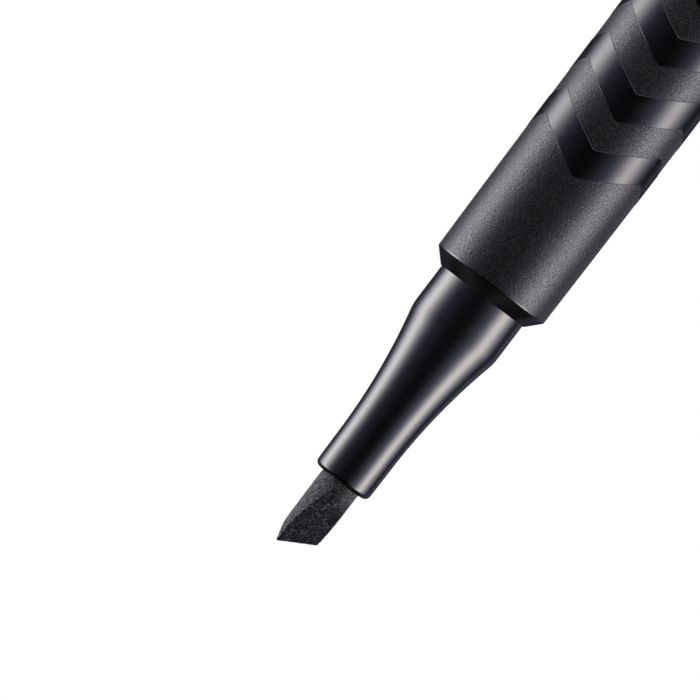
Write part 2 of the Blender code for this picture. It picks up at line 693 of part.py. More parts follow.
def make_inner_cap(material, parent):
    """The cup that seals the nose's tip, with its origin in the plane of its mouth."""
    seat, chamber_end, rear = inner_cap_depths()
    waist = INNER_CAP_RADIUS - INNER_CAP_WAIST
    post = CAP_SPRING_POST_RADIUS
    post_end = rear - INNER_CAP_POST_LENGTH
    outline = [
        (0, post_end),
        (post - CAP_POST_CHAMFER, post_end),
        (post, post_end + CAP_POST_CHAMFER),
        (post, rear),
        (INNER_CAP_RADIUS, rear),
        (INNER_CAP_RADIUS, rear + INNER_CAP_RING_LENGTH),
        (waist, rear + INNER_CAP_RING_LENGTH + INNER_CAP_WAIST),
        (waist, -INNER_CAP_RING_LENGTH - INNER_CAP_WAIST),
        (INNER_CAP_RADIUS, -INNER_CAP_RING_LENGTH),
        (INNER_CAP_RADIUS, 0),
        (SEAL_RADIUS + INNER_CAP_LEAD_IN, 0),
        (SEAL_RADIUS, -INNER_CAP_LEAD_IN),
        (SEAL_RADIUS, seat),
        (NIB_CHAMBER_RADIUS, seat),
        (NIB_CHAMBER_RADIUS, chamber_end),
        (0, chamber_end),
    ]
    return place("inner_cap", turned("inner_cap", outline, INNER_SIDES), material, parent)


def spring_height(turn, length):
    """Height along the spring at a number of turns: closer turns at both ends."""
    end_height = SPRING_END_TURNS * SPRING_END_PITCH
    open_turns = SPRING_TURNS - 2 * SPRING_END_TURNS
    open_pitch = (length - 2 * end_height) / open_turns
    if turn < SPRING_END_TURNS:
        return turn * SPRING_END_PITCH
    if turn > SPRING_TURNS - SPRING_END_TURNS:
        return length - (SPRING_TURNS - turn) * SPRING_END_PITCH
    return end_height + (turn - SPRING_END_TURNS) * open_pitch


def make_cap_spring(material, parent):
    """The wire spring between the cap's end and the inner cap, from its lowest point up."""
    inner_cap_rear = INNER_CAP_MOUTH_Z + inner_cap_depths()[2]
    low = CAP_END_WALL + SPRING_END_GAP + SPRING_WIRE / 2
    length = inner_cap_rear - SPRING_END_GAP - SPRING_WIRE / 2 - low
    curve = bpy.data.curves.new("cap_spring", "CURVE")
    curve.dimensions = "3D"
    curve.bevel_depth = SPRING_WIRE / 2
    curve.bevel_resolution = 1
    curve.use_fill_caps = True
    count = SPRING_TURNS * SPRING_POINTS_PER_TURN
    line = curve.splines.new("POLY")
    line.points.add(count)
    for index, point in enumerate(line.points):
        turn = index / SPRING_POINTS_PER_TURN
        angle = math.tau * turn
        point.co = (
            SPRING_MEAN_RADIUS * math.cos(angle),
            SPRING_MEAN_RADIUS * math.sin(angle),
            spring_height(turn, length),
            1.0,
        )
    curve.materials.append(material)
    spring = bpy.data.objects.new("cap_spring", curve)
    bpy.context.scene.collection.objects.link(spring)
    spring.parent = parent
    spring.location.z = low - CAP_MOUTH_Z
    return spring


def main():
    clear_scene()
    satin_black = finish("satin_black_coat", (0.012, 0.013, 0.016), 0.42)
    gloss_black = finish("gloss_black_moulding", (0.006, 0.006, 0.008), 0.12)
    felt = finish("charcoal_felt", (0.035, 0.036, 0.04), 0.95)
    white_moulding = finish("white_moulding", (0.72, 0.72, 0.70), 0.45)
    clear_moulding = finish("natural_moulding", (0.62, 0.64, 0.63), 0.35)
    fibre = finish("white_fibre", (0.55, 0.54, 0.50), 0.9)
    steel = finish("bright_steel", (0.62, 0.62, 0.63), 0.2, 1.0)

    make_barrel(satin_black)
    make_ink_tank(clear_moulding)
    make_nose_section(gloss_black)
    make_nib(felt)
    make_nib_holder(white_moulding)
    make_wick(fibre)
    make_collector(white_moulding)
    make_tail_plug(gloss_black)
    make_mixing_ball(steel, joint_empty("ball_slide_axis", TANK_FLOOR_Z + BALL_RADIUS + SEAT_GAP))

    cap_axis = joint_empty("cap_slide_axis", CAP_MOUTH_Z)
    make_cap_shell(satin_black, cap_axis)
    make_cap_liner(white_moulding, cap_axis)
    make_cap_spring(steel, cap_axis)
    inner_axis = joint_empty("inner_cap_slide_axis", INNER_CAP_MOUTH_Z - CAP_MOUTH_Z, cap_axis)
    make_inner_cap(clear_moulding, inner_axis)


main()
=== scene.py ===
"""Looks of the pen eyeliner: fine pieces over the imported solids, finishes and studio."""

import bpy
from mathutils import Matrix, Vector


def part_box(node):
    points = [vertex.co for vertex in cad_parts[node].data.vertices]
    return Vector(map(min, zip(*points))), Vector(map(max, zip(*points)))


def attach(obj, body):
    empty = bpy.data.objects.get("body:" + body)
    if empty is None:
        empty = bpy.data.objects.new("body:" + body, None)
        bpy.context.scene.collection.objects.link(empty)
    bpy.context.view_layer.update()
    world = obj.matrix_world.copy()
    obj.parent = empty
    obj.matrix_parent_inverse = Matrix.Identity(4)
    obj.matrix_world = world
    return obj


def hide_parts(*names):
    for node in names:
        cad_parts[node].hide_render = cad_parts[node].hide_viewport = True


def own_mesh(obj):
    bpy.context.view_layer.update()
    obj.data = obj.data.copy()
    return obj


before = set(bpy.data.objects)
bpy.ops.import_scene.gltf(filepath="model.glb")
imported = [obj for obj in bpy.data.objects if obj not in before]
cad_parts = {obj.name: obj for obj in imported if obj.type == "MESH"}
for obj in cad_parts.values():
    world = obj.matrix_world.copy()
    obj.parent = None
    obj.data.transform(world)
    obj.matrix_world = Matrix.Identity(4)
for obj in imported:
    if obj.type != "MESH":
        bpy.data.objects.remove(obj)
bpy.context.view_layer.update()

import math

import bmesh
import bpy
from mathutils import Matrix, Vector, noise

MM = 0.001

# Facets and edges of the fine pieces
OUTER_SIDES = 160
INNER_SIDES = 96
SMOOTH_BELOW = math.radians(38)
NEVER_SHARP = math.pi
WELD = 0.0005 * MM
ROUND_STEPS = 10
EDGE_STEPS = 3
FINE_EDGE = 0.06 * MM
SOFT_EDGE = 0.12 * MM

# Levels of a noise between which its pattern counts
WIDE_SPREAD = (0.3, 0.7)
NARROW_SPREAD = (0.35, 0.65)

# Satin coat. The shares are of a value, at the low and the high level of the grain.
SATIN_SHADE = (0.001, 0.001, 0.0013)
SATIN_TINT = (1.0, 1.0, 1.10)
SATIN_ROUGHNESS = 0.25
SATIN_ROUGHNESS_SHARES = (1.15, 0.85)
SATIN_SHINE = 0.54
SATIN_SHINE_SHARES = (0.6, 1.4)
SATIN_SHEEN = 0.3
SATIN_SHEEN_ROUGHNESS = 0.45
SATIN_GRAIN = 0.115 * MM
SATIN_GRAIN_HEIGHT = 0.032 * MM
SATIN_SPECK = 0.12 * MM
SATIN_SPECK_SHADES = [(0.50, (0.001, 0.001, 0.0012)), (0.75, (0.028, 0.0272, 0.0305))]

# Gloss blacks: the nose and tail mouldings, the rim of the coat, bare plastic and varnish
GLOSS_SHADE = (0.002, 0.002, 0.0027)
GLOSS_ROUGHNESS = 0.10
GLOSS_ROUGHNESS_SHARES = (0.85, 1.2)
GLOSS_HAZE = 0.6 * MM
GLOSS_WAVE = 2.5 * MM
GLOSS_WAVE_HEIGHT = 0.002 * MM
COAT_RIM_ROUGHNESS = 0.12
BARE_SHADE = (0.006, 0.006, 0.0065)
BARE_ROUGHNESS = 0.16
VARNISH_SHADE = (0.0008, 0.0008, 0.001)
VARNISH_TINT = (1.0, 0.99, 1.05)
VARNISH_ROUGHNESS = 0.14
VARNISH_SHINE = 0.72

# Felt. Facing is how squarely a face looks along the nib's edge, from none to all of it.
FELT_SHADE = (0.02, 0.02, 0.023)
FELT_ROUGHNESS = 0.85
FELT_SHINE = 0.15
FELT_FIBRE = 0.09 * MM
FELT_FIBRE_SHARE = 0.28
FELT_FIBRE_HEIGHT = 0.05 * MM
FELT_GROUND_SHADES = [
    (0.44, (0.001, 0.001, 0.0015)),
    (0.54, (0.007, 0.007, 0.01)),
    (0.65, (0.19, 0.19, 0.21)),
]
FELT_PATCH = 0.7 * MM
FELT_PATCH_SHARES = (0.6, 1.4)
FELT_STRAND = 0.08 * MM
FELT_STRAND_SHARE = 0.35
FELT_SKIN_SHADES = [(0.43, (0.008, 0.008, 0.01)), (0.61, (0.28, 0.275, 0.29))]
FELT_CUT_DEPTH = 0.03 * MM
# Painted light: the point bevel, turned to the +X soft box, is painted as pale as the skin
FELT_LIT_BEVEL_FACING = (0.6, 0.85)
# Painted light and shade: the skin keeps its full shade where it faces +X or lies on the −X
# side, and is darkened to a share of it between them
FELT_LIT_FLANK_FACING = (0.45, 0.88)
FELT_SHADED_FLANK_SHARE = 0.35
# Painted light: the −X side of the felt near the nose is made paler, as lit by the −X soft box
FELT_NOSE_LIGHT_LENGTH = 2.6 * MM
FELT_LIT_SIDE_SHARES = (-0.6, -0.1)
FELT_NOSE_LIGHT_MOST = 0.75

# Plain mouldings, wick and steel
WHITE_SHADE = (0.72, 0.72, 0.70)
WHITE_ROUGHNESS = 0.45
NATURAL_SHADE = (0.62, 0.64, 0.63)
NATURAL_ROUGHNESS = 0.35
MOULDING_GRAIN = 0.3 * MM
MOULDING_GRAIN_HEIGHT = 0.003 * MM
MOULDING_DARKER = 0.94
WICK_SHADE = (0.5, 0.49, 0.45)
WICK_ROUGHNESS = 0.9
WICK_STRAND = 0.08 * MM
WICK_STRAND_SHARE = 0.05
WICK_STRAND_HEIGHT = 0.02 * MM
WICK_STRAND_SHADES = [(0.3, (0.10, 0.10, 0.11)), (0.7, (0.52, 0.50, 0.46))]
STEEL_SHADE = (0.60, 0.60, 0.61)
STEEL_ROUGHNESS_SHARES = (0.8, 1.4)
STEEL_SCRATCH = 0.05 * MM
BALL_ROUGHNESS = 0.12
SPRING_ROUGHNESS = 0.25

# Clearances between the pieces
FIT = 0.05 * MM
CUT_OVERRUN = 0.5 * MM

# Barrel and its varnish bands
BARREL_END_RADIUS = 5.5 * MM
BARREL_CROWN_RISE = 0.135 * MM
BARREL_STRAIGHT_LENGTH = 36.5 * MM
BARREL_WALL = 0.75 * MM
CROWN_STEPS = 16
MOUTH_CHAMFER_LENGTH = 1.22 * MM
COAT_RIM_WIDTH = 0.1 * MM
MOUTH_LIP_WIDTH = 0.06 * MM
MOUTH_COLLAR_LENGTH = 2.4 * MM
VARNISH_THICKNESS = 0.03 * MM
VARNISH_KEY = 0.01 * MM
BAND_COUNT = 11
BAND_PITCH = 5.76 * MM
BAND_WIDTH = 2.85 * MM
BAND_EDGE = 0.07 * MM
BAND_SLOPE = 0.52
BAND_START = 12.34 * MM
BAND_ZIGZAGS = 3
BAND_POINT_ROUNDING = 0.15 * MM
BAND_SIDES = 360
BAND_SHARP_ABOVE = math.radians(10)

# Nose section
NECK_RADIUS = 4.2 * MM
NECK_TAPER_START = 3.95 * MM
NECK_SHOULDER_BLEND = 0.5 * MM
NECK_TAPER_STEPS = 40
TIP_LENGTH = 3.16 * MM
TIP_RADIUS = 2.7 * MM
TIP_DRAFT = 0.03 * MM
TIP_EDGE_RADIUS = 0.55 * MM
NOSE_FLANGE_THICKNESS = 1.2 * MM
NOSE_SKIRT_WALL = 0.6 * MM
NOSE_SKIRT_LEAD_IN = 0.3 * MM
NOSE_GUIDE_LENGTH = 7.0 * MM
NOSE_VENTS = 3
NOSE_VENT_WIDTH = 0.6 * MM
NOSE_VENT_DEPTH = 0.22 * MM

# Nib
NIB_RADIUS = 1.8 * MM
NIB_REACH = 6.29 * MM
NIB_EDGE_SLANT = math.radians(26.0)
NIB_FACET_ANGLE = math.radians(13.6)
NIB_TURN = math.radians(26.0)
NIB_EDGE_WIDTH = 0.2 * MM
NIB_POINT_BEVEL_LENGTH = 2.0 * MM
NIB_POINT_BEVEL_ANGLE = math.radians(9.0)
NIB_TAIL_CHAMFER = 0.25 * MM
NIB_VOXEL = 0.06 * MM
NIB_SMOOTHINGS = 3
NIB_SMOOTHING_SHARE = 0.5
NIB_SWELL = 0.03 * MM
NIB_FUZZ = 0.022 * MM
NIB_FIBRE_WIDTH = 0.13 * MM
NIB_FIBRE_STRETCH = 2.2

# Pieces inside the nose
HOLDER_WALL = 0.5 * MM
HOLDER_GROOVES = 3
HOLDER_GROOVE_WIDTH = 0.8 * MM
HOLDER_GROOVE_DEPTH = 0.25 * MM
WICK_RADIUS = 1.15 * MM
COLLECTOR_CORE_WALL = 0.7 * MM
COLLECTOR_FINS = 16
COLLECTOR_FIN_THICKNESS = 0.6 * MM
COLLECTOR_FRONT_COLLAR = 1.4 * MM
COLLECTOR_REAR_COLLAR = 1.8 * MM
COLLECTOR_INK_SLIT = 0.35 * MM
COLLECTOR_INK_SLIT_FLOOR = 0.25 * MM
COLLECTOR_AIR_SLOT = 1.1 * MM
COLLECTOR_AIR_SLOT_FLOOR = 0.5 * MM

# Tank, ball and tail plug
TANK_WALL = 0.45 * MM
TANK_FLOOR = 1.0 * MM
TANK_DISH_DEPTH = 0.5 * MM
TANK_DISH_FLAT_SHARE = 0.5
BALL_SUBDIVISIONS = 5
PLUG_SPIGOT_LENGTH = 6.0 * MM
PLUG_SPIGOT_LEAD_IN = 0.3 * MM
PLUG_BEADS = 2
PLUG_BEAD_LENGTH = 1.0 * MM
PLUG_BEAD_HEIGHT = 0.12 * MM
PLUG_FLANGE_LAND = 0.35 * MM
PLUG_LIP_WIDTH = 0.1 * MM
PLUG_CHAMFER_LENGTH = 1.31 * MM
PLUG_STUB_EDGE_RADIUS = 0.6 * MM
PLUG_WALL = 0.7 * MM
PLUG_END_WALL = 1.2 * MM

# Cap
CAP_STRAIGHT_LENGTH = 3.0 * MM
CAP_WALL = 0.55 * MM
CAP_END_WALL = 1.4 * MM
CAP_END_EDGE_RADIUS = 0.8 * MM
CAP_RIM_CHAMFER = 0.2 * MM
CAP_SPRING_POST_RADIUS = 1.9 * MM
CAP_SPRING_POST_LENGTH = 3.0 * MM
CAP_POST_CHAMFER = 0.3 * MM
LINER_LEAD_IN = 0.4 * MM
LINER_GRIP_LENGTH = 4.0 * MM
LINER_RELIEF = 0.15 * MM
LINER_LIP_THICKNESS = 1.0 * MM
LINER_LIP_CLEARANCE = 0.35 * MM
INNER_CAP_WALL = 0.84 * MM
INNER_CAP_WAIST = 0.35 * MM
INNER_CAP_RING_LENGTH = 2.4 * MM
INNER_CAP_SEAL_DEPTH = 2.2 * MM
INNER_CAP_SEAL_CLEARANCE = 0.03 * MM
INNER_CAP_LEAD_IN = 0.35 * MM
INNER_CAP_NIB_CLEARANCE = 0.3 * MM
INNER_CAP_END_WALL = 1.2 * MM
INNER_CAP_POST_LENGTH = 1.2 * MM
SPRING_WIRE = 0.4 * MM
SPRING_POST_CLEARANCE = 0.4 * MM
SPRING_TURNS = 9
SPRING_END_TURNS = 1
SPRING_END_PITCH = 0.85 * MM
SPRING_POINTS_PER_TURN = 36
SPRING_WIRE_SIDES = 12

# Radii that follow
NIB_BORE_RADIUS = NIB_RADIUS + FIT
TIP_ROOT_RADIUS = TIP_RADIUS + TIP_DRAFT
HOLDER_RADIUS = NIB_BORE_RADIUS + HOLDER_WALL
WICK_BORE_RADIUS = WICK_RADIUS + FIT
NOSE_SKIRT_BORE = NECK_RADIUS - NOSE_SKIRT_WALL
COLLECTOR_RADIUS = NOSE_SKIRT_BORE - FIT
COLLECTOR_CORE_RADIUS = WICK_BORE_RADIUS + COLLECTOR_CORE_WALL
TANK_BORE_RADIUS = NECK_RADIUS + FIT
TANK_RADIUS = TANK_BORE_RADIUS + TANK_WALL
BARREL_BORE_RADIUS = BARREL_END_RADIUS - BARREL_WALL
MOUTH_BORE_RADIUS = NECK_RADIUS + FIT
CAP_BORE_RADIUS = BARREL_END_RADIUS - CAP_WALL
LINER_RADIUS = CAP_BORE_RADIUS - FIT
LINER_GRIP_RADIUS = NECK_RADIUS + FIT
LINER_RELIEF_RADIUS = LINER_GRIP_RADIUS + LINER_RELIEF
LINER_LIP_RADIUS = TIP_ROOT_RADIUS + LINER_LIP_CLEARANCE
SEAL_RADIUS = TIP_ROOT_RADIUS + INNER_CAP_SEAL_CLEARANCE
INNER_CAP_RADIUS = SEAL_RADIUS + INNER_CAP_WALL
LINER_GUIDE_RADIUS = INNER_CAP_RADIUS + FIT
NIB_CHAMBER_RADIUS = NIB_RADIUS + INNER_CAP_NIB_CLEARANCE
SPRING_RADIUS = CAP_SPRING_POST_RADIUS + SPRING_POST_CLEARANCE + SPRING_WIRE / 2

# Camera, from the photograph's 700 by 700 pixels, which count from 0
FRAME_PIXELS = 700.0
PIXELS_PER_METRE = 12.02 / MM
CAMERA_DISTANCE = 520.0 * MM
CLIP_START = CAMERA_DISTANCE / 10
CLIP_END = CAMERA_DISTANCE * 20
SENSOR_WIDTH = 36.0
AXIS_LEAN = math.radians(37.2)
NOSE_FRONT_PIXEL = (340.1, 481.7)

# Studio round the pen. Directions count in degrees from the camera towards +X.
WARM_CLOTH = (1.03, 1.0, 0.96)
GOLD_CLOTH = (1.06, 1.0, 0.91)
COOL_CLOTH = (0.89, 0.92, 1.29)
DARK_ROOM = (0.029, 0.031, 0.036)
SOFT_BOXES = [
    # direction, spread, level, tint
    (-76, 11.8, 5.2, GOLD_CLOTH),
    (-65, 19.0, 0.9, COOL_CLOTH),
    (-34, 10.0, 0.07, COOL_CLOTH),
    (-99, 9.0, 0.6, COOL_CLOTH),
    (95.3, 13.2, 5.25, WARM_CLOTH),
    (66, 18.0, 0.3, COOL_CLOTH),
    (72, 8.0, 0.35, COOL_CLOTH),
    (116, 10.0, 0.75, COOL_CLOTH),
    (28, 10.0, 0.03, COOL_CLOTH),
    (-141, 9.0, 0.12, COOL_CLOTH),
    (141, 9.0, 0.04, COOL_CLOTH),
]
WALL_FROM = 176
WALL_FULL = 179

# The boxes fade between two heights, given as shares of straight up, to a low level
BOX_TOP_SHARE = 0.45
BOX_FADE_SHARE = 0.72
HIGH_LEVEL = 0.03

# Floor
FLOOR_SHADE = (0.8, 0.8, 0.8)
FLOOR_ROUGHNESS = 0.6
FLOOR_RADIUS = 450.0 * MM
FLOOR_SIDES = 96
FLOOR_GLOW = 0.5


def span(node):
    """The lowest and highest height of a solid of the frame."""
    low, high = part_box(node)
    return low.z, high.z


def new_material(name, shade, roughness, metallic=0.0):
    """A material and its Principled shader."""
    material = bpy.data.materials.new(name)
    material.use_nodes = True
    shader = material.node_tree.nodes["Principled BSDF"]
    shader.inputs["Base Color"].default_value = (*shade, 1.0)
    shader.inputs["Roughness"].default_value = roughness
    shader.inputs["Metallic"].default_value = metallic
    return material, shader


def link(owner, out_socket, in_socket):
    """Links two sockets in a material or world."""
    owner.node_tree.links.new(out_socket, in_socket)


def feed(owner, socket, value):
    """Links a socket to another, or sets it to a plain value."""
    if isinstance(value, bpy.types.NodeSocket):
        link(owner, value, socket)
    else:
        socket.default_value = value


def node(owner, kind, **inputs):
    """A node of a kind in a material or world, with its inputs set or linked."""
    made = owner.node_tree.nodes.new(kind)
    for name, value in inputs.items():
        feed(owner, made.inputs[name.replace("_", " ")], value)
    return made


def math_node(owner, operation, first, second=None):
    """The result of a Math node on one or two sockets or numbers."""
    made = node(owner, "ShaderNodeMath")
    made.operation = operation
    feed(owner, made.inputs[0], first)
    if second is not None:
        feed(owner, made.inputs[1], second)
    return made.outputs[0]


def highest(owner, first, *others):
    """The highest of several sockets."""
    for other in others:
        first = math_node(owner, "MAXIMUM", first, other)
    return first


def vector_node(owner, operation, first, second=None, scale=None):
    """The result of a Vector Math node: a number for a length or a dot product."""
    made = node(owner, "ShaderNodeVectorMath")
    made.operation = operation
    feed(owner, made.inputs[0], first)
    if second is not None:
        feed(owner, made.inputs[1], second)
    if scale is not None:
        feed(owner, made.inputs["Scale"], scale)
    return made.outputs["Value" if operation in ("LENGTH", "DOT_PRODUCT") else "Vector"]


def range_node(owner, value, low, high, low_level, high_level, kind="LINEAR"):
    """A value carried from one range to another."""
    made = node(owner, "ShaderNodeMapRange", Value=value)
    made.interpolation_type = kind
    for name, number in (
        ("From Min", low), ("From Max", high), ("To Min", low_level), ("To Max", high_level)
    ):
        made.inputs[name].default_value = number
    return made.outputs["Result"]


def varied(material, pattern, level, shares, spread=WIDE_SPREAD):
    """A level that a pattern carries from one share of itself to another."""
    low_share, high_share = shares
    return range_node(material, pattern, *spread, level * low_share, level * high_share)


def object_place(material):
    """Places on the pen."""
    return node(material, "ShaderNodeTexCoord").outputs["Object"]


def stretched_place(material, share):
    """Places along which a pattern is drawn out lengthwise, the more the smaller the share."""
    place = object_place(material)
    mapping = node(material, "ShaderNodeMapping", Vector=place, Scale=(1.0, 1.0, share))
    return mapping.outputs["Vector"]


def noise_of(material, size, detail=2.0, roughness=0.5, vector=None):
    """Noise whose blobs measure about size."""
    place = vector or object_place(material)
    made = node(
        material, "ShaderNodeTexNoise", Vector=place, Scale=1.0 / size, Detail=detail,
        Roughness=roughness,
    )
    return made.outputs["Fac"]


def ramp_of(material, factor, stops):
    """A colour ramp through (position, colour) stops."""
    made = node(material, "ShaderNodeValToRGB", Fac=factor)
    ramp = made.color_ramp
    while len(ramp.elements) < len(stops):
        ramp.elements.new(0.5)
    for element, (position, colour) in zip(ramp.elements, stops):
        element.position = position
        element.color = (*colour, 1.0)
    return made.outputs["Color"]


def colour_mix(material, factor, first, second):
    """A colour between two. The Mix node has its colour sockets at these numbers."""
    made = node(material, "ShaderNodeMix", Factor=factor)
    made.data_type = "RGBA"
    link(material, first, made.inputs[6])
    link(material, second, made.inputs[7])
    return made.outputs[2]


def bump_of(material, shader, height, distance):
    """Raises a shader's surface by a height pattern, up to a distance."""
    bump = node(material, "ShaderNodeBump", Height=height, Distance=distance, Strength=1.0)
    link(material, bump.outputs["Normal"], shader.inputs["Normal"])


def satin_coat():
    """The soft black coat: fine grain in its height, gloss and shine, and paler specks."""
    material, shader = new_material("satin_coat", SATIN_SHADE, SATIN_ROUGHNESS)
    grain = noise_of(material, SATIN_GRAIN, detail=1.0, roughness=0.6)
    specks = noise_of(material, SATIN_SPECK, detail=0.0)
    shade = ramp_of(material, specks, SATIN_SPECK_SHADES)
    link(material, shade, shader.inputs["Base Color"])
    gloss = varied(material, grain, SATIN_ROUGHNESS, SATIN_ROUGHNESS_SHARES)
    link(material, gloss, shader.inputs["Roughness"])
    shine = varied(material, grain, SATIN_SHINE, SATIN_SHINE_SHARES, NARROW_SPREAD)
    link(material, shine, shader.inputs["Specular IOR Level"])
    shader.inputs["Specular Tint"].default_value = (*SATIN_TINT, 1.0)
    shader.inputs["Sheen Weight"].default_value = SATIN_SHEEN
    shader.inputs["Sheen Roughness"].default_value = SATIN_SHEEN_ROUGHNESS
    bump_of(material, shader, grain, SATIN_GRAIN_HEIGHT)
    return material


def gloss_black(name, roughness, coat=1.0, shade=GLOSS_SHADE, shine=0.5, tint=(1.0, 1.0, 1.0)):
    """Polished black, mostly under a clear coat, with a faint waviness."""
    material, shader = new_material(name, shade, roughness)
    shader.inputs["Specular IOR Level"].default_value = shine
    shader.inputs["Specular Tint"].default_value = (*tint, 1.0)
    shader.inputs["Coat Weight"].default_value = coat
    shader.inputs["Coat Roughness"].default_value = roughness
    haze = noise_of(material, GLOSS_HAZE, detail=3.0)
    gloss = varied(material, haze, roughness, GLOSS_ROUGHNESS_SHARES)
    link(material, gloss, shader.inputs["Roughness"])
    wave = noise_of(material, GLOSS_WAVE, detail=1.0)
    bump_of(material, shader, wave, GLOSS_WAVE_HEIGHT)
    return material


def felt_shades(material, fibres):
    """The dark of the ground facets, which is patchy, and the paler pressed skin of the rod."""
    patch = noise_of(material, FELT_PATCH, detail=1.0)
    patches = varied(material, patch, 1.0, FELT_PATCH_SHARES, NARROW_SPREAD)
    ground = ramp_of(material, fibres, FELT_GROUND_SHADES)
    along = stretched_place(material, FELT_STRAND_SHARE)
    strands = noise_of(material, FELT_STRAND, detail=4.0, roughness=0.85, vector=along)
    skin = ramp_of(material, strands, FELT_SKIN_SHADES)
    return vector_node(material, "SCALE", ground, scale=patches), skin


def inked_felt():
    """Felt full of black ink: the ground facets dark, the pressed skin of the rod paler, with
    painted light on the sides facing the soft boxes and painted shade between.
    """
    material, shader = new_material("inked_felt", FELT_SHADE, FELT_ROUGHNESS)
    shader.inputs["Specular IOR Level"].default_value = FELT_SHINE
    lengthwise = stretched_place(material, FELT_FIBRE_SHARE)
    fibres = noise_of(material, FELT_FIBRE, detail=5.0, roughness=0.8, vector=lengthwise)
    ground, skin = felt_shades(material, fibres)
    place = object_place(material)
    across = vector_node(material, "MULTIPLY", place, (1.0, 1.0, 0.0))
    uncut = range_node(
        material, vector_node(material, "LENGTH", across),
        NIB_RADIUS - FELT_CUT_DEPTH, NIB_RADIUS + NIB_SWELL / 2, 0.0, 1.0,
    )
    facing = node(material, "ShaderNodeTexCoord").outputs["Normal"]
    point_side = (math.cos(NIB_TURN), -math.sin(NIB_TURN), 0.0)
    turned_to_point = vector_node(material, "DOT_PRODUCT", facing, point_side)
    # Painted light: cut faces turned to the +X side get the pale skin colour
    lit_point_bevel = range_node(material, turned_to_point, *FELT_LIT_BEVEL_FACING, 0.0, 1.0)
    nose_front = span("nose_section")[1]
    parts = node(material, "ShaderNodeSeparateXYZ", Vector=place)
    # Painted light: paler on the −X side within a short length of the nose
    near_nose = range_node(
        material, parts.outputs["Z"], nose_front, nose_front + FELT_NOSE_LIGHT_LENGTH, 1.0, 0.0,
        "SMOOTHSTEP",
    )
    lit_from, lit_to = (share * NIB_RADIUS for share in FELT_LIT_SIDE_SHARES)
    lit_side_share = range_node(material, parts.outputs["X"], lit_from, lit_to, FELT_NOSE_LIGHT_MOST, 0.0)
    painted_nose_light = math_node(material, "MULTIPLY", near_nose, lit_side_share)
    # Painted shade on the skin between the +X flank and the −X side, where the soft boxes light
    # it least
    painted_flank_light = range_node(
        material, turned_to_point, *FELT_LIT_FLANK_FACING, FELT_SHADED_FLANK_SHARE, 1.0
    )
    painted_side_light = math_node(material, "DIVIDE", lit_side_share, FELT_NOSE_LIGHT_MOST)
    skin = vector_node(material, "SCALE", skin, scale=highest(material, painted_flank_light, painted_side_light))
    # The pale skin, and painted light on the point bevel and near the nose
    skin_or_painted_light = highest(material, uncut, lit_point_bevel, painted_nose_light)
    shade = colour_mix(material, skin_or_painted_light, ground, skin)
    link(material, shade, shader.inputs["Base Color"])
    bump_of(material, shader, fibres, FELT_FIBRE_HEIGHT)
    return material


def moulding(name, shade, roughness):
    """Plain moulded plastic with a fine matt grain."""
    material, shader = new_material(name, shade, roughness)
    grain = noise_of(material, MOULDING_GRAIN)
    darker = tuple(channel * MOULDING_DARKER for channel in shade)
    mottled = ramp_of(material, grain, list(zip(WIDE_SPREAD, (darker, shade))))
    link(material, mottled, shader.inputs["Base Color"])
    bump_of(material, shader, grain, MOULDING_GRAIN_HEIGHT)
    return material


def wick_fibre():
    """Bonded fibres that run along the rod, greyed by ink."""
    material, shader = new_material("wick_fibre", WICK_SHADE, WICK_ROUGHNESS)
    along = stretched_place(material, WICK_STRAND_SHARE)
    strands = noise_of(material, WICK_STRAND, roughness=0.6, vector=along)
    shade = ramp_of(material, strands, WICK_STRAND_SHADES)
    link(material, shade, shader.inputs["Base Color"])
    bump_of(material, shader, strands, WICK_STRAND_HEIGHT)
    return material


def bright_steel(name, roughness):
    """Drawn or ground steel with fine scratches."""
    material, shader = new_material(name, STEEL_SHADE, roughness, metallic=1.0)
    scratches = noise_of(material, STEEL_SCRATCH, detail=3.0)
    gloss = varied(material, scratches, roughness, STEEL_ROUGHNESS_SHARES)
    link(material, gloss, shader.inputs["Roughness"])
    return material


def soften(profile, corners, radius):
    """Rounds chosen corners of a wire profile."""
    bmesh.ops.bevel(
        profile, geom=corners, offset=radius, offset_type="OFFSET", segments=EDGE_STEPS,
        profile=0.5, affect="VERTICES", clamp_overlap=True, material=-1,
    )


def turned(outline, sides, edge=0.0, rounded=()):
    """An outline of (radius, height) points turned about the axis into a closed solid.

    The corners named by number in rounded get a small edge radius before the turning.
    """
    solid = bmesh.new()
    verts = [solid.verts.new((radius, 0, height)) for radius, height in outline]
    pairs = list(zip(verts, verts[1:]))
    if not (outline[0][0] == 0 and outline[-1][0] == 0):
        pairs.append((verts[-1], verts[0]))
    for pair in pairs:
        solid.edges.new(pair)
    if rounded:
        soften(solid, [verts[number] for number in rounded], edge)
    bmesh.ops.spin(
        solid, geom=solid.verts[:] + solid.edges[:], cent=(0, 0, 0), axis=(0, 0, 1),
        angle=math.tau, steps=sides, use_merge=True,
    )
    bmesh.ops.remove_doubles(solid, verts=solid.verts, dist=WELD)
    bmesh.ops.recalc_face_normals(solid, faces=solid.faces)
    return solid


def placed(name, solid):
    """An object in the scene with the mesh of a solid, which is used up."""
    mesh = bpy.data.meshes.new(name)
    solid.to_mesh(mesh)
    solid.free()
    made = bpy.data.objects.new(name, mesh)
    bpy.context.scene.collection.objects.link(made)
    return made


def piece(name, solid, materials, body, stands_for, smooth=SMOOTH_BELOW):
    """Puts a finished solid in the scene, on its body and in place of its CAD node."""
    made = placed(name, solid)
    for material in materials:
        made.data.materials.append(material)
    made.data.shade_smooth()
    made.data.set_sharp_from_angle(angle=smooth)
    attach(made, body)
    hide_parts(stands_for)
    return made


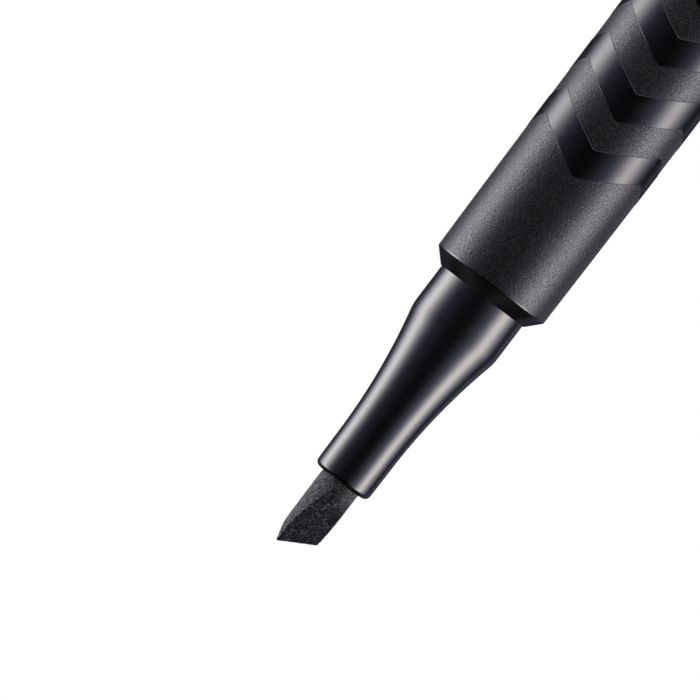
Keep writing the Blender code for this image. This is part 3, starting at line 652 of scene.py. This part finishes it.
def arc(centre_radius, centre_height, radius, start, end):
    """Points of an outline on part of a circle."""
    angles = [start + (end - start) * step / ROUND_STEPS for step in range(ROUND_STEPS + 1)]
    return [
        (centre_radius + radius * math.cos(angle), centre_height + radius * math.sin(angle))
        for angle in angles
    ]


def crown_radius(height, low, high, straight):
    """The outer radius of a crowned tube between two ends."""
    length = (high - low - straight) / 2
    inset = max(0.0, min(height - low, high - height))
    share = min(1.0, inset / length)
    return BARREL_END_RADIUS + BARREL_CROWN_RISE * (1 - (1 - share) ** 2)


def crown_line(low, high, straight):
    """Points of a crowned tube's outer line, from its low end to its high end."""
    length = (high - low - straight) / 2
    insets = [length * step / CROWN_STEPS for step in range(CROWN_STEPS + 1)]
    heights = [low + inset for inset in insets] + [high - inset for inset in reversed(insets)]
    return [
        (crown_radius(height, low, high, straight) - VARNISH_THICKNESS, height)
        for height in heights
    ]


def make_barrel(material, bare, rim):
    """The coated tube: a gloss rim where the coat ends, bare plastic in front and inside."""
    rear, mouth = span("barrel")
    edge = mouth - MOUTH_CHAMFER_LENGTH
    outline = crown_line(rear, edge, BARREL_STRAIGHT_LENGTH)
    front_corner = len(outline) - 1
    outline += [
        (MOUTH_BORE_RADIUS + MOUTH_LIP_WIDTH, mouth),
        (MOUTH_BORE_RADIUS, mouth),
        (MOUTH_BORE_RADIUS, mouth - MOUTH_COLLAR_LENGTH),
        (BARREL_BORE_RADIUS, mouth - MOUTH_COLLAR_LENGTH),
        (BARREL_BORE_RADIUS, rear),
    ]
    solid = turned(outline, OUTER_SIDES, COAT_RIM_WIDTH, (0, front_corner))
    for face in solid.faces:
        middle = face.calc_center_median()
        if math.hypot(middle.x, middle.y) < BARREL_END_RADIUS - COAT_RIM_WIDTH:
            face.material_index = 1
        elif middle.z > edge - COAT_RIM_WIDTH:
            face.material_index = 1 if middle.z > edge + COAT_RIM_WIDTH else 2
    return piece("barrel_tube", solid, (material, bare, rim), "pen", "barrel")


def zigzag(around):
    """How far a band lies behind its points at a distance around the barrel."""
    half = math.pi * BARREL_END_RADIUS / BAND_ZIGZAGS
    distance = abs((around + half) % (2 * half) - half)

    def climb(run):
        return BAND_SLOPE * (math.hypot(run, BAND_POINT_ROUNDING) - BAND_POINT_ROUNDING)

    if distance < half / 2:
        return climb(distance)
    return 2 * climb(half / 2) - climb(half - distance)


def make_varnish_bands(material):
    """Raised gloss zigzags round the barrel: turned rings, bent and keyed into the coat."""
    rear, mouth = span("barrel")
    edge = mouth - MOUTH_CHAMFER_LENGTH
    half = BAND_WIDTH / 2
    top = BARREL_END_RADIUS
    floor = top - VARNISH_THICKNESS - VARNISH_KEY
    lip = half - BAND_EDGE
    outline = [(floor, -half), (top, -lip), (top, lip), (floor, half)]
    bands = turned(outline, BAND_SIDES)
    first = bands.verts[:] + bands.edges[:] + bands.faces[:]
    for number in range(1, BAND_COUNT):
        copy = bmesh.ops.duplicate(bands, geom=first)
        moved = [item for item in copy["geom"] if isinstance(item, bmesh.types.BMVert)]
        bmesh.ops.translate(bands, verts=moved, vec=(0, 0, -BAND_PITCH * number))
    for vert in bands.verts:
        around = math.atan2(vert.co.x, -vert.co.y) * BARREL_END_RADIUS
        height = mouth - BAND_START - half + vert.co.z - zigzag(around)
        reach = math.hypot(vert.co.x, vert.co.y)
        radius = crown_radius(height, rear, edge, BARREL_STRAIGHT_LENGTH) + reach - top
        vert.co = (vert.co.x / reach * radius, vert.co.y / reach * radius, height)
    return piece(
        "varnish_bands", bands, (material,), "pen", "barrel", BAND_SHARP_ABOVE
    )


def neck_line(mouth, front):
    """Points of the neck's outer line from the barrel's mouth to the nose's front face."""
    taper_end = front - mouth - TIP_LENGTH
    run = taper_end - NECK_TAPER_START

    def radius_at(height):
        share = max(0.0, (taper_end - height) / run)
        return TIP_ROOT_RADIUS + (NECK_RADIUS - TIP_ROOT_RADIUS) * share**2

    start = NECK_TAPER_START + NECK_SHOULDER_BLEND
    low = Vector((NECK_RADIUS, NECK_TAPER_START - NECK_SHOULDER_BLEND))
    knee = Vector((NECK_RADIUS, NECK_TAPER_START))
    high = Vector((radius_at(start), start))
    points = []
    for step in range(ROUND_STEPS):
        share = step / ROUND_STEPS
        point = low.lerp(knee, share).lerp(knee.lerp(high, share), share)
        points.append((point.x, mouth + point.y))
    for step in range(NECK_TAPER_STEPS + 1):
        height = start + (taper_end - start) * step / NECK_TAPER_STEPS
        points.append((radius_at(height), mouth + height))
    return points + arc(
        TIP_RADIUS - TIP_EDGE_RADIUS, front - TIP_EDGE_RADIUS, TIP_EDGE_RADIUS, 0, math.pi / 2
    )


def add_box(solid, low, high, turn):
    """Adds a box between two corners, turned about the axis."""
    made = bmesh.ops.create_cube(solid, size=1.0)
    for vert in made["verts"]:
        for axis in range(3):
            near_share = 0.5 - vert.co[axis]
            vert.co[axis] = low[axis] * near_share + high[axis] * (1 - near_share)
    turning = Matrix.Rotation(turn, 3, "Z")
    bmesh.ops.rotate(solid, verts=made["verts"], cent=(0, 0, 0), matrix=turning)


def baked(source, modify):
    """A solid after a modifier that modify adds to its object."""
    blank = placed("blank", source)
    modify(blank)
    bpy.context.view_layer.update()
    shaped = blank.evaluated_get(bpy.context.evaluated_depsgraph_get())
    solid = bmesh.new()
    solid.from_mesh(shaped.to_mesh())
    shaped.to_mesh_clear()
    bpy.data.objects.remove(blank, do_unlink=True)
    return solid


def grooved(solid, boxes):
    """A solid with lengthwise boxes cut from it, each box (low, high, turn)."""
    tool = bmesh.new()
    for low, high, turn in boxes:
        add_box(tool, low, high, turn)
    bmesh.ops.recalc_face_normals(tool, faces=tool.faces)
    cutter = placed("groove_tool", tool)

    def cut(blank):
        modifier = blank.modifiers.new("grooves", "BOOLEAN")
        modifier.operation = "DIFFERENCE"
        modifier.solver = "EXACT"
        modifier.object = cutter

    made = baked(solid, cut)
    bpy.data.objects.remove(cutter, do_unlink=True)
    return made


def make_nose(material):
    """The neck with its flange and skirt, bored for the nib, with vents along the guide."""
    rear, front = span("nose_section")
    mouth = span("barrel")[1]
    flange_front = mouth - MOUTH_COLLAR_LENGTH - FIT
    flange_rear = flange_front - NOSE_FLANGE_THICKNESS
    guide_rear = front - NOSE_GUIDE_LENGTH
    collector_stop = span("nib_holder")[0] - FIT
    outline = [
        (NECK_RADIUS - NOSE_SKIRT_LEAD_IN, rear),
        (NECK_RADIUS, rear + NOSE_SKIRT_LEAD_IN),
        (NECK_RADIUS, flange_rear),
        (BARREL_BORE_RADIUS - FIT, flange_rear),
        (BARREL_BORE_RADIUS - FIT, flange_front),
        (NECK_RADIUS, flange_front),
    ]
    outline += neck_line(mouth, front)
    bore_corner = len(outline)
    outline += [
        (NIB_BORE_RADIUS, front),
        (NIB_BORE_RADIUS, guide_rear),
        (HOLDER_RADIUS + FIT, guide_rear),
        (HOLDER_RADIUS + FIT, collector_stop),
        (NOSE_SKIRT_BORE, collector_stop),
        (NOSE_SKIRT_BORE, rear),
    ]
    solid = turned(outline, OUTER_SIDES, FINE_EDGE, (bore_corner,))
    half = NOSE_VENT_WIDTH / 2
    low = (NIB_RADIUS, -half, guide_rear - CUT_OVERRUN)
    high = (NIB_BORE_RADIUS + NOSE_VENT_DEPTH, half, front + CUT_OVERRUN)
    vents = [(low, high, math.tau * vent / NOSE_VENTS) for vent in range(NOSE_VENTS)]
    solid = grooved(solid, vents)
    return piece("nose_moulding", solid, (material,), "pen", "nose_section")


def trim(solid, point, normal):
    """Cuts away what lies beyond a plane and closes the cut."""
    cut = bmesh.ops.bisect_plane(
        solid, geom=solid.verts[:] + solid.edges[:] + solid.faces[:], plane_co=point,
        plane_no=normal, clear_outer=True,
    )
    rim = [edge for edge in cut["geom_cut"] if isinstance(edge, bmesh.types.BMEdge)]
    bmesh.ops.holes_fill(solid, edges=rim)
    bmesh.ops.remove_doubles(solid, verts=solid.verts, dist=WELD)


def make_nib(material):
    """The felt rod: cut to a slanted chisel, then given a fibrous skin."""
    rear = span("nib")[0]
    front = span("nose_section")[1]
    blank_top = front + NIB_REACH + NIB_RADIUS
    outline = [
        (0, rear),
        (NIB_RADIUS - NIB_TAIL_CHAMFER, rear),
        (NIB_RADIUS, rear + NIB_TAIL_CHAMFER),
        (NIB_RADIUS, blank_top),
        (0, blank_top),
    ]
    solid = turned(outline, OUTER_SIDES)
    upwards = Vector((0, 0, 1))
    outward = Vector((math.cos(NIB_TURN), -math.sin(NIB_TURN), 0))
    along_edge = outward + upwards * math.tan(NIB_EDGE_SLANT)
    wide_side = Vector((-math.sin(NIB_TURN), -math.cos(NIB_TURN), 0))
    edge_point = Vector((0, 0, front + NIB_REACH))
    for side in (1, -1):
        facing = wide_side * side
        down_facet = facing * math.sin(NIB_FACET_ANGLE)
        down_facet.z = -math.cos(NIB_FACET_ANGLE)
        normal = along_edge.cross(down_facet)
        if normal.dot(facing) < 0:
            normal.negate()
        trim(solid, edge_point + facing * NIB_EDGE_WIDTH / 2, normal)
    trim(solid, edge_point, wide_side.cross(along_edge))
    bevel_start = edge_point + along_edge * NIB_RADIUS - upwards * NIB_POINT_BEVEL_LENGTH
    leaning = outward * math.cos(NIB_POINT_BEVEL_ANGLE)
    leaning += upwards * math.sin(NIB_POINT_BEVEL_ANGLE)
    trim(solid, bevel_start, leaning)
    bmesh.ops.recalc_face_normals(solid, faces=solid.faces)

    def remesh(blank):
        modifier = blank.modifiers.new("skin", "REMESH")
        modifier.mode = "VOXEL"
        modifier.voxel_size = NIB_VOXEL

    solid = baked(solid, remesh)
    for _ in range(NIB_SMOOTHINGS):
        bmesh.ops.smooth_vert(
            solid, verts=solid.verts, factor=NIB_SMOOTHING_SHARE,
            use_axis_x=True, use_axis_y=True, use_axis_z=True,
        )
    solid.normal_update()
    for vert in solid.verts:
        along = vert.co / NIB_FIBRE_WIDTH
        along.z /= NIB_FIBRE_STRETCH
        vert.co += vert.normal * (NIB_SWELL + NIB_FUZZ * noise.noise(along))
    return piece("felt_nib", solid, (material,), "pen", "nib", NEVER_SHARP)


def make_holder(material):
    """The sleeve round the rear of the nib, with air grooves along its outside."""
    rear, front = span("nib_holder")
    step = span("nib")[0] - FIT
    outline = [
        (WICK_BORE_RADIUS, rear),
        (HOLDER_RADIUS, rear),
        (HOLDER_RADIUS, front),
        (NIB_BORE_RADIUS, front),
        (NIB_BORE_RADIUS, step),
        (WICK_BORE_RADIUS, step),
    ]
    solid = turned(outline, INNER_SIDES, SOFT_EDGE, (1, 2))
    half = HOLDER_GROOVE_WIDTH / 2
    low = (HOLDER_RADIUS - HOLDER_GROOVE_DEPTH, -half, rear - CUT_OVERRUN)
    high = (HOLDER_RADIUS + CUT_OVERRUN, half, front + CUT_OVERRUN)
    grooves = [(low, high, math.tau * n / HOLDER_GROOVES) for n in range(HOLDER_GROOVES)]
    solid = grooved(solid, grooves)
    return piece("nib_sleeve", solid, (material,), "pen", "nib_holder")


def make_wick(material):
    """The fibre rod from the tank to the nib."""
    rear, front = span("feed_wick")
    outline = [(0, rear), (WICK_RADIUS, rear), (WICK_RADIUS, front), (0, front)]
    solid = turned(outline, INNER_SIDES, SOFT_EDGE, (1, 2))
    return piece("wick_rod", solid, (material,), "pen", "feed_wick")


def make_collector(material):
    """The comb of fins on a hollow core, with an ink slit and an air slot opposite."""
    rear, front = span("collector")
    comb_start = rear + COLLECTOR_REAR_COLLAR
    collar = front - COLLECTOR_FRONT_COLLAR
    fins = COLLECTOR_FINS
    gap = (collar - comb_start - fins * COLLECTOR_FIN_THICKNESS) / (fins + 1)
    outline = [
        (WICK_BORE_RADIUS, rear),
        (COLLECTOR_RADIUS, rear),
        (COLLECTOR_RADIUS, comb_start),
        (COLLECTOR_CORE_RADIUS, comb_start),
    ]
    for fin in range(fins):
        low = comb_start + gap + fin * (gap + COLLECTOR_FIN_THICKNESS)
        high = low + COLLECTOR_FIN_THICKNESS
        outline += [
            (COLLECTOR_CORE_RADIUS, low),
            (COLLECTOR_RADIUS, low),
            (COLLECTOR_RADIUS, high),
            (COLLECTOR_CORE_RADIUS, high),
        ]
    outline += [
        (COLLECTOR_CORE_RADIUS, collar),
        (COLLECTOR_RADIUS, collar),
        (COLLECTOR_RADIUS, front),
        (WICK_BORE_RADIUS, front),
    ]
    rims = [number for number, (radius, _) in enumerate(outline) if radius == COLLECTOR_RADIUS]
    solid = turned(outline, INNER_SIDES, FINE_EDGE, rims)
    reach = COLLECTOR_RADIUS + CUT_OVERRUN
    half_slit = COLLECTOR_INK_SLIT / 2
    half_slot = COLLECTOR_AIR_SLOT / 2
    ink_slit = (
        (WICK_BORE_RADIUS + COLLECTOR_INK_SLIT_FLOOR, -half_slit, rear - CUT_OVERRUN),
        (reach, half_slit, front + CUT_OVERRUN),
        0.0,
    )
    air_slot = (
        (COLLECTOR_CORE_RADIUS + COLLECTOR_AIR_SLOT_FLOOR, -half_slot, comb_start - CUT_OVERRUN),
        (reach, half_slot, front + CUT_OVERRUN),
        math.pi,
    )
    solid = grooved(solid, [ink_slit, air_slot])
    return piece("collector_comb", solid, (material,), "pen", "collector")


def make_tank(material):
    """The ink tank, open towards the collector, with a dished floor for the ball."""
    rear, front = span("ink_tank")
    floor = rear + TANK_FLOOR
    ball_low, ball_high = span("mixing_ball")
    dish_flat = (ball_high - ball_low) / 2 * TANK_DISH_FLAT_SHARE
    outline = [
        (0, rear),
        (TANK_RADIUS, rear),
        (TANK_RADIUS, front),
        (TANK_BORE_RADIUS, front),
        (TANK_BORE_RADIUS, floor + TANK_DISH_DEPTH),
        (dish_flat, floor),
        (0, floor),
    ]
    solid = turned(outline, INNER_SIDES, SOFT_EDGE, (1, 2, 3))
    return piece("tank_tube", solid, (material,), "pen", "ink_tank")


def make_ball(material):
    """The mixing ball at the bottom of the tank."""
    low, high = span("mixing_ball")
    solid = bmesh.new()
    radius = (high - low) / 2
    bmesh.ops.create_icosphere(solid, subdivisions=BALL_SUBDIVISIONS, radius=radius)
    bmesh.ops.translate(solid, verts=solid.verts, vec=(0, 0, (low + high) / 2))
    return piece(
        "steel_ball", solid, (material,), "mixing_ball", "mixing_ball", NEVER_SHARP
    )


def make_tail_plug(material):
    """The plug in the barrel's rear, with the stub that the cap is pushed onto."""
    end, top = span("tail_plug")
    seat = span("barrel")[0]
    lip = seat - FIT - PLUG_FLANGE_LAND - PLUG_CHAMFER_LENGTH
    bore = NECK_RADIUS - PLUG_WALL
    bead_radius = BARREL_BORE_RADIUS - FIT
    spigot = bead_radius - PLUG_BEAD_HEIGHT
    flange = BARREL_END_RADIUS - VARNISH_THICKNESS
    outline = [(0, end)] + arc(
        NECK_RADIUS - PLUG_STUB_EDGE_RADIUS, end + PLUG_STUB_EDGE_RADIUS,
        PLUG_STUB_EDGE_RADIUS, -math.pi / 2, 0,
    )
    outline += [(NECK_RADIUS, lip), (NECK_RADIUS + PLUG_LIP_WIDTH, lip)]
    flange_corner = len(outline)
    outline += [
        (flange, seat - FIT - PLUG_FLANGE_LAND),
        (flange, seat - FIT),
        (spigot, seat - FIT),
    ]
    for bead in range(PLUG_BEADS):
        middle = seat + PLUG_SPIGOT_LENGTH * (bead + 1) / (PLUG_BEADS + 1)
        outline += [
            (spigot, middle - PLUG_BEAD_LENGTH / 2),
            (bead_radius, middle - PLUG_BEAD_LENGTH / 4),
            (bead_radius, middle + PLUG_BEAD_LENGTH / 4),
            (spigot, middle + PLUG_BEAD_LENGTH / 2),
        ]
    outline += [
        (spigot, top - PLUG_SPIGOT_LEAD_IN),
        (spigot - PLUG_SPIGOT_LEAD_IN, top),
        (bore, top),
        (bore, end + PLUG_END_WALL),
        (0, end + PLUG_END_WALL),
    ]
    solid = turned(outline, OUTER_SIDES, FINE_EDGE, (flange_corner, flange_corner + 1))
    return piece("tail_moulding", solid, (material,), "pen", "tail_plug")


def make_cap_shell(material):
    """The outer cap, crowned like the barrel, with a post for the spring inside."""
    end, mouth = span("cap_shell")
    rim = mouth - CAP_RIM_CHAMFER
    floor = end + CAP_END_WALL
    post_top = floor + CAP_SPRING_POST_LENGTH
    end_radius = BARREL_END_RADIUS - VARNISH_THICKNESS
    outline = [(0, end)] + arc(
        end_radius - CAP_END_EDGE_RADIUS, end + CAP_END_EDGE_RADIUS, CAP_END_EDGE_RADIUS,
        -math.pi / 2, 0,
    )[:-1]
    outline += crown_line(end + CAP_END_EDGE_RADIUS, rim, CAP_STRAIGHT_LENGTH)
    rim_corner = len(outline)
    outline += [
        (end_radius - CAP_RIM_CHAMFER, mouth),
        (CAP_BORE_RADIUS, mouth),
        (CAP_BORE_RADIUS, floor),
        (CAP_SPRING_POST_RADIUS, floor),
        (CAP_SPRING_POST_RADIUS, post_top - CAP_POST_CHAMFER),
        (CAP_SPRING_POST_RADIUS - CAP_POST_CHAMFER, post_top),
        (0, post_top),
    ]
    corners = (rim_corner - 1, rim_corner, rim_corner + 1)
    solid = turned(outline, OUTER_SIDES, FINE_EDGE, corners)
    return piece("cap_cup", solid, (material,), "cap", "cap_shell")


def make_liner(material):
    """The sleeve in the cap: it grips the stub in front and guides the inner cap behind."""
    rear, front = span("cap_liner")
    lip_rear = span("inner_cap")[1] + FIT
    lip_front = lip_rear + LINER_LIP_THICKNESS
    grip_end = front - LINER_LEAD_IN - LINER_GRIP_LENGTH
    outline = [
        (LINER_RADIUS, rear),
        (LINER_RADIUS, front),
        (LINER_GRIP_RADIUS + LINER_LEAD_IN, front),
        (LINER_GRIP_RADIUS, front - LINER_LEAD_IN),
        (LINER_GRIP_RADIUS, grip_end),
        (LINER_RELIEF_RADIUS, grip_end - LINER_RELIEF),
        (LINER_RELIEF_RADIUS, lip_front),
        (LINER_LIP_RADIUS, lip_front),
        (LINER_LIP_RADIUS, lip_rear),
        (LINER_GUIDE_RADIUS, lip_rear),
        (LINER_GUIDE_RADIUS, rear),
    ]
    solid = turned(outline, INNER_SIDES, FINE_EDGE, (1, 2, 3, 7, 8))
    return piece("liner_sleeve", solid, (material,), "cap", "cap_liner")


def make_inner_cap(material):
    """The cup that seals the tip of the nose, waisted, on a post for the spring."""
    post_end, mouth = span("inner_cap")
    rear = post_end + INNER_CAP_POST_LENGTH
    seat = mouth - INNER_CAP_SEAL_DEPTH
    waist = INNER_CAP_RADIUS - INNER_CAP_WAIST
    post = CAP_SPRING_POST_RADIUS
    chamber_end = rear + INNER_CAP_END_WALL
    outline = [
        (0, post_end),
        (post - CAP_POST_CHAMFER, post_end),
        (post, post_end + CAP_POST_CHAMFER),
        (post, rear),
        (INNER_CAP_RADIUS, rear),
        (INNER_CAP_RADIUS, rear + INNER_CAP_RING_LENGTH),
        (waist, rear + INNER_CAP_RING_LENGTH + INNER_CAP_WAIST),
        (waist, mouth - INNER_CAP_RING_LENGTH - INNER_CAP_WAIST),
        (INNER_CAP_RADIUS, mouth - INNER_CAP_RING_LENGTH),
        (INNER_CAP_RADIUS, mouth),
        (SEAL_RADIUS + INNER_CAP_LEAD_IN, mouth),
        (SEAL_RADIUS, mouth - INNER_CAP_LEAD_IN),
        (SEAL_RADIUS, seat),
        (NIB_CHAMBER_RADIUS, seat),
        (NIB_CHAMBER_RADIUS, chamber_end),
        (0, chamber_end),
    ]
    solid = turned(outline, INNER_SIDES, FINE_EDGE, (4, 5, 8, 9, 10, 13))
    return piece("sealing_cup", solid, (material,), "inner_cap", "inner_cap")


def spring_height(turn, length):
    """Height along the spring at a number of turns: closer turns at both ends."""
    end_height = SPRING_END_TURNS * SPRING_END_PITCH
    open_pitch = (length - 2 * end_height) / (SPRING_TURNS - 2 * SPRING_END_TURNS)
    if turn < SPRING_END_TURNS:
        return turn * SPRING_END_PITCH
    if turn > SPRING_TURNS - SPRING_END_TURNS:
        return length - (SPRING_TURNS - turn) * SPRING_END_PITCH
    return end_height + (turn - SPRING_END_TURNS) * open_pitch


def make_spring(material):
    """The wire spring, its section carried along the helix by short steps."""
    low, high = span("cap_spring")
    start = low + SPRING_WIRE / 2
    length = high - low - SPRING_WIRE
    solid = bmesh.new()
    ring = bmesh.ops.create_circle(
        solid, cap_ends=True, radius=SPRING_WIRE / 2, segments=SPRING_WIRE_SIDES
    )["verts"]
    upright = Matrix.Rotation(math.pi / 2, 3, "X")
    bmesh.ops.rotate(solid, verts=ring, cent=(0, 0, 0), matrix=upright)
    bmesh.ops.translate(solid, verts=ring, vec=(SPRING_RADIUS, 0, start))
    face = ring[0].link_faces[0]
    step_turn = Matrix.Rotation(math.tau / SPRING_POINTS_PER_TURN, 3, "Z")
    for step in range(SPRING_TURNS * SPRING_POINTS_PER_TURN):
        out = bmesh.ops.extrude_discrete_faces(solid, faces=[face])
        face = out["faces"][0]
        rise = spring_height((step + 1) / SPRING_POINTS_PER_TURN, length)
        rise -= spring_height(step / SPRING_POINTS_PER_TURN, length)
        bmesh.ops.rotate(solid, verts=face.verts, cent=(0, 0, 0), matrix=step_turn)
        bmesh.ops.translate(solid, verts=face.verts, vec=(0, 0, rise))
    bmesh.ops.holes_fill(solid, edges=[edge for edge in solid.edges if edge.is_boundary])
    bmesh.ops.recalc_face_normals(solid, faces=solid.faces)
    spring = piece("wire_spring", solid, (material,), "cap", "cap_spring")
    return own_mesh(spring)


def make_camera():
    """A long lens level with the barrel's mouth, rolled to the photograph's lean."""
    front = span("nose_section")[1]
    mouth = span("barrel")[1]
    towards_nib = Vector((-math.sin(AXIS_LEAN), math.cos(AXIS_LEAN)))
    sideways = Vector((math.cos(AXIS_LEAN), math.sin(AXIS_LEAN)))
    centre = Vector((FRAME_PIXELS - 1, FRAME_PIXELS - 1)) / 2
    from_nose = centre - Vector(NOSE_FRONT_PIXEL)
    aim = Vector((
        -from_nose.dot(sideways) / PIXELS_PER_METRE,
        0,
        front + from_nose.dot(towards_nib) / PIXELS_PER_METRE,
    ))
    data = bpy.data.cameras.new("camera")
    data.sensor_width = SENSOR_WIDTH
    data.lens = SENSOR_WIDTH * CAMERA_DISTANCE * PIXELS_PER_METRE / FRAME_PIXELS
    data.clip_start = CLIP_START
    data.clip_end = CLIP_END
    camera = bpy.data.objects.new("camera", data)
    bpy.context.scene.collection.objects.link(camera)
    camera.location = (aim.x, -CAMERA_DISTANCE, mouth)
    looking = (aim - camera.location).to_track_quat("-Z", "Y")
    roll = Matrix.Rotation(math.pi + AXIS_LEAN, 3, "Z").to_quaternion()
    camera.rotation_mode = "QUATERNION"
    camera.rotation_quaternion = looking @ roll
    bpy.context.scene.camera = camera


def soft_box(world, around, direction, spread, level, tint):
    """The light of a tall box: brightest in its middle, with a bell curve to both sides."""
    offset = math_node(world, "SUBTRACT", around, math.radians(direction))
    share = math_node(world, "DIVIDE", offset, math.radians(spread))
    fall = math_node(world, "MULTIPLY", math_node(world, "MULTIPLY", share, share), -0.5)
    strength = math_node(world, "MULTIPLY", math_node(world, "EXPONENT", fall), level)
    return vector_node(world, "SCALE", tint, scale=strength)


def make_world():
    """A dark studio with tall soft boxes round the pen.

    The camera and what looks through glass see white all round. A mirror sees white only
    behind the pen, where the wall stands.
    """
    world = bpy.data.worlds.new("studio")
    bpy.context.scene.world = world
    world.use_nodes = True
    world.node_tree.nodes.clear()
    way = node(world, "ShaderNodeTexCoord").outputs["Generated"]
    parts = node(world, "ShaderNodeSeparateXYZ", Vector=way)
    forward = math_node(world, "MULTIPLY", parts.outputs["Y"], -1.0)
    around = math_node(world, "ARCTAN2", parts.outputs["X"], forward)
    away = math_node(world, "ABSOLUTE", around)
    wall = range_node(world, away, math.radians(WALL_FROM), math.radians(WALL_FULL), 0.0, 1.0)
    light = DARK_ROOM
    for box in SOFT_BOXES:
        light = vector_node(world, "ADD", light, soft_box(world, around, *box))
    height = math_node(world, "ABSOLUTE", parts.outputs["Z"])
    fade = range_node(
        world, height, BOX_TOP_SHARE, BOX_FADE_SHARE, 1.0, HIGH_LEVEL, "SMOOTHSTEP"
    )
    studio = node(world, "ShaderNodeBackground", Color=light, Strength=fade)
    white = node(world, "ShaderNodeBackground", Color=(1.0, 1.0, 1.0, 1.0), Strength=1.0)
    rays = node(world, "ShaderNodeLightPath").outputs
    mirrored = math_node(world, "MULTIPLY", rays["Is Glossy Ray"], wall)
    seen = highest(world, rays["Is Camera Ray"], rays["Is Transmission Ray"], mirrored)
    mixed = node(world, "ShaderNodeMixShader", Fac=seen)
    link(world, studio.outputs[0], mixed.inputs[1])
    link(world, white.outputs[0], mixed.inputs[2])
    out = node(world, "ShaderNodeOutputWorld")
    link(world, mixed.outputs[0], out.inputs["Surface"])


def make_floor():
    """A pale floor that takes the shadow, and is as pale to mirrors as to the camera."""
    material, shader = new_material("pale_floor", FLOOR_SHADE, FLOOR_ROUGHNESS)
    rays = node(material, "ShaderNodeLightPath").outputs
    seen = highest(
        material, rays["Is Camera Ray"], rays["Is Glossy Ray"], rays["Is Transmission Ray"]
    )
    glow = math_node(material, "MULTIPLY", seen, FLOOR_GLOW)
    shader.inputs["Specular IOR Level"].default_value = 0.0
    shader.inputs["Emission Color"].default_value = (1.0, 1.0, 1.0, 1.0)
    link(material, glow, shader.inputs["Emission Strength"])
    solid = bmesh.new()
    bmesh.ops.create_circle(solid, cap_ends=True, radius=FLOOR_RADIUS, segments=FLOOR_SIDES)
    floor = placed("floor", solid)
    floor.data.materials.append(material)


def main():
    """Makes the finishes, the pieces from nib to cap, the camera and the studio."""
    satin = satin_coat()
    gloss = gloss_black("gloss_moulding", GLOSS_ROUGHNESS)
    rim = gloss_black("coat_rim", COAT_RIM_ROUGHNESS)
    bare = gloss_black("bare_moulding", BARE_ROUGHNESS, coat=0.0, shade=BARE_SHADE)
    varnish = gloss_black(
        "gloss_varnish", VARNISH_ROUGHNESS, coat=0.0, shade=VARNISH_SHADE, shine=VARNISH_SHINE,
        tint=VARNISH_TINT,
    )
    white = moulding("white_moulding", WHITE_SHADE, WHITE_ROUGHNESS)
    natural = moulding("natural_moulding", NATURAL_SHADE, NATURAL_ROUGHNESS)
    make_barrel(satin, bare, rim)
    make_varnish_bands(varnish)
    make_nose(gloss)
    make_nib(inked_felt())
    make_holder(white)
    make_wick(wick_fibre())
    make_collector(white)
    make_tank(natural)
    make_ball(bright_steel("ball_steel", BALL_ROUGHNESS))
    make_tail_plug(gloss)
    make_cap_shell(satin)
    make_liner(white)
    make_spring(bright_steel("spring_steel", SPRING_ROUGHNESS))
    make_inner_cap(natural)
    make_camera()
    make_world()
    make_floor()
    bpy.context.scene.view_settings.view_transform = "Standard"


main()
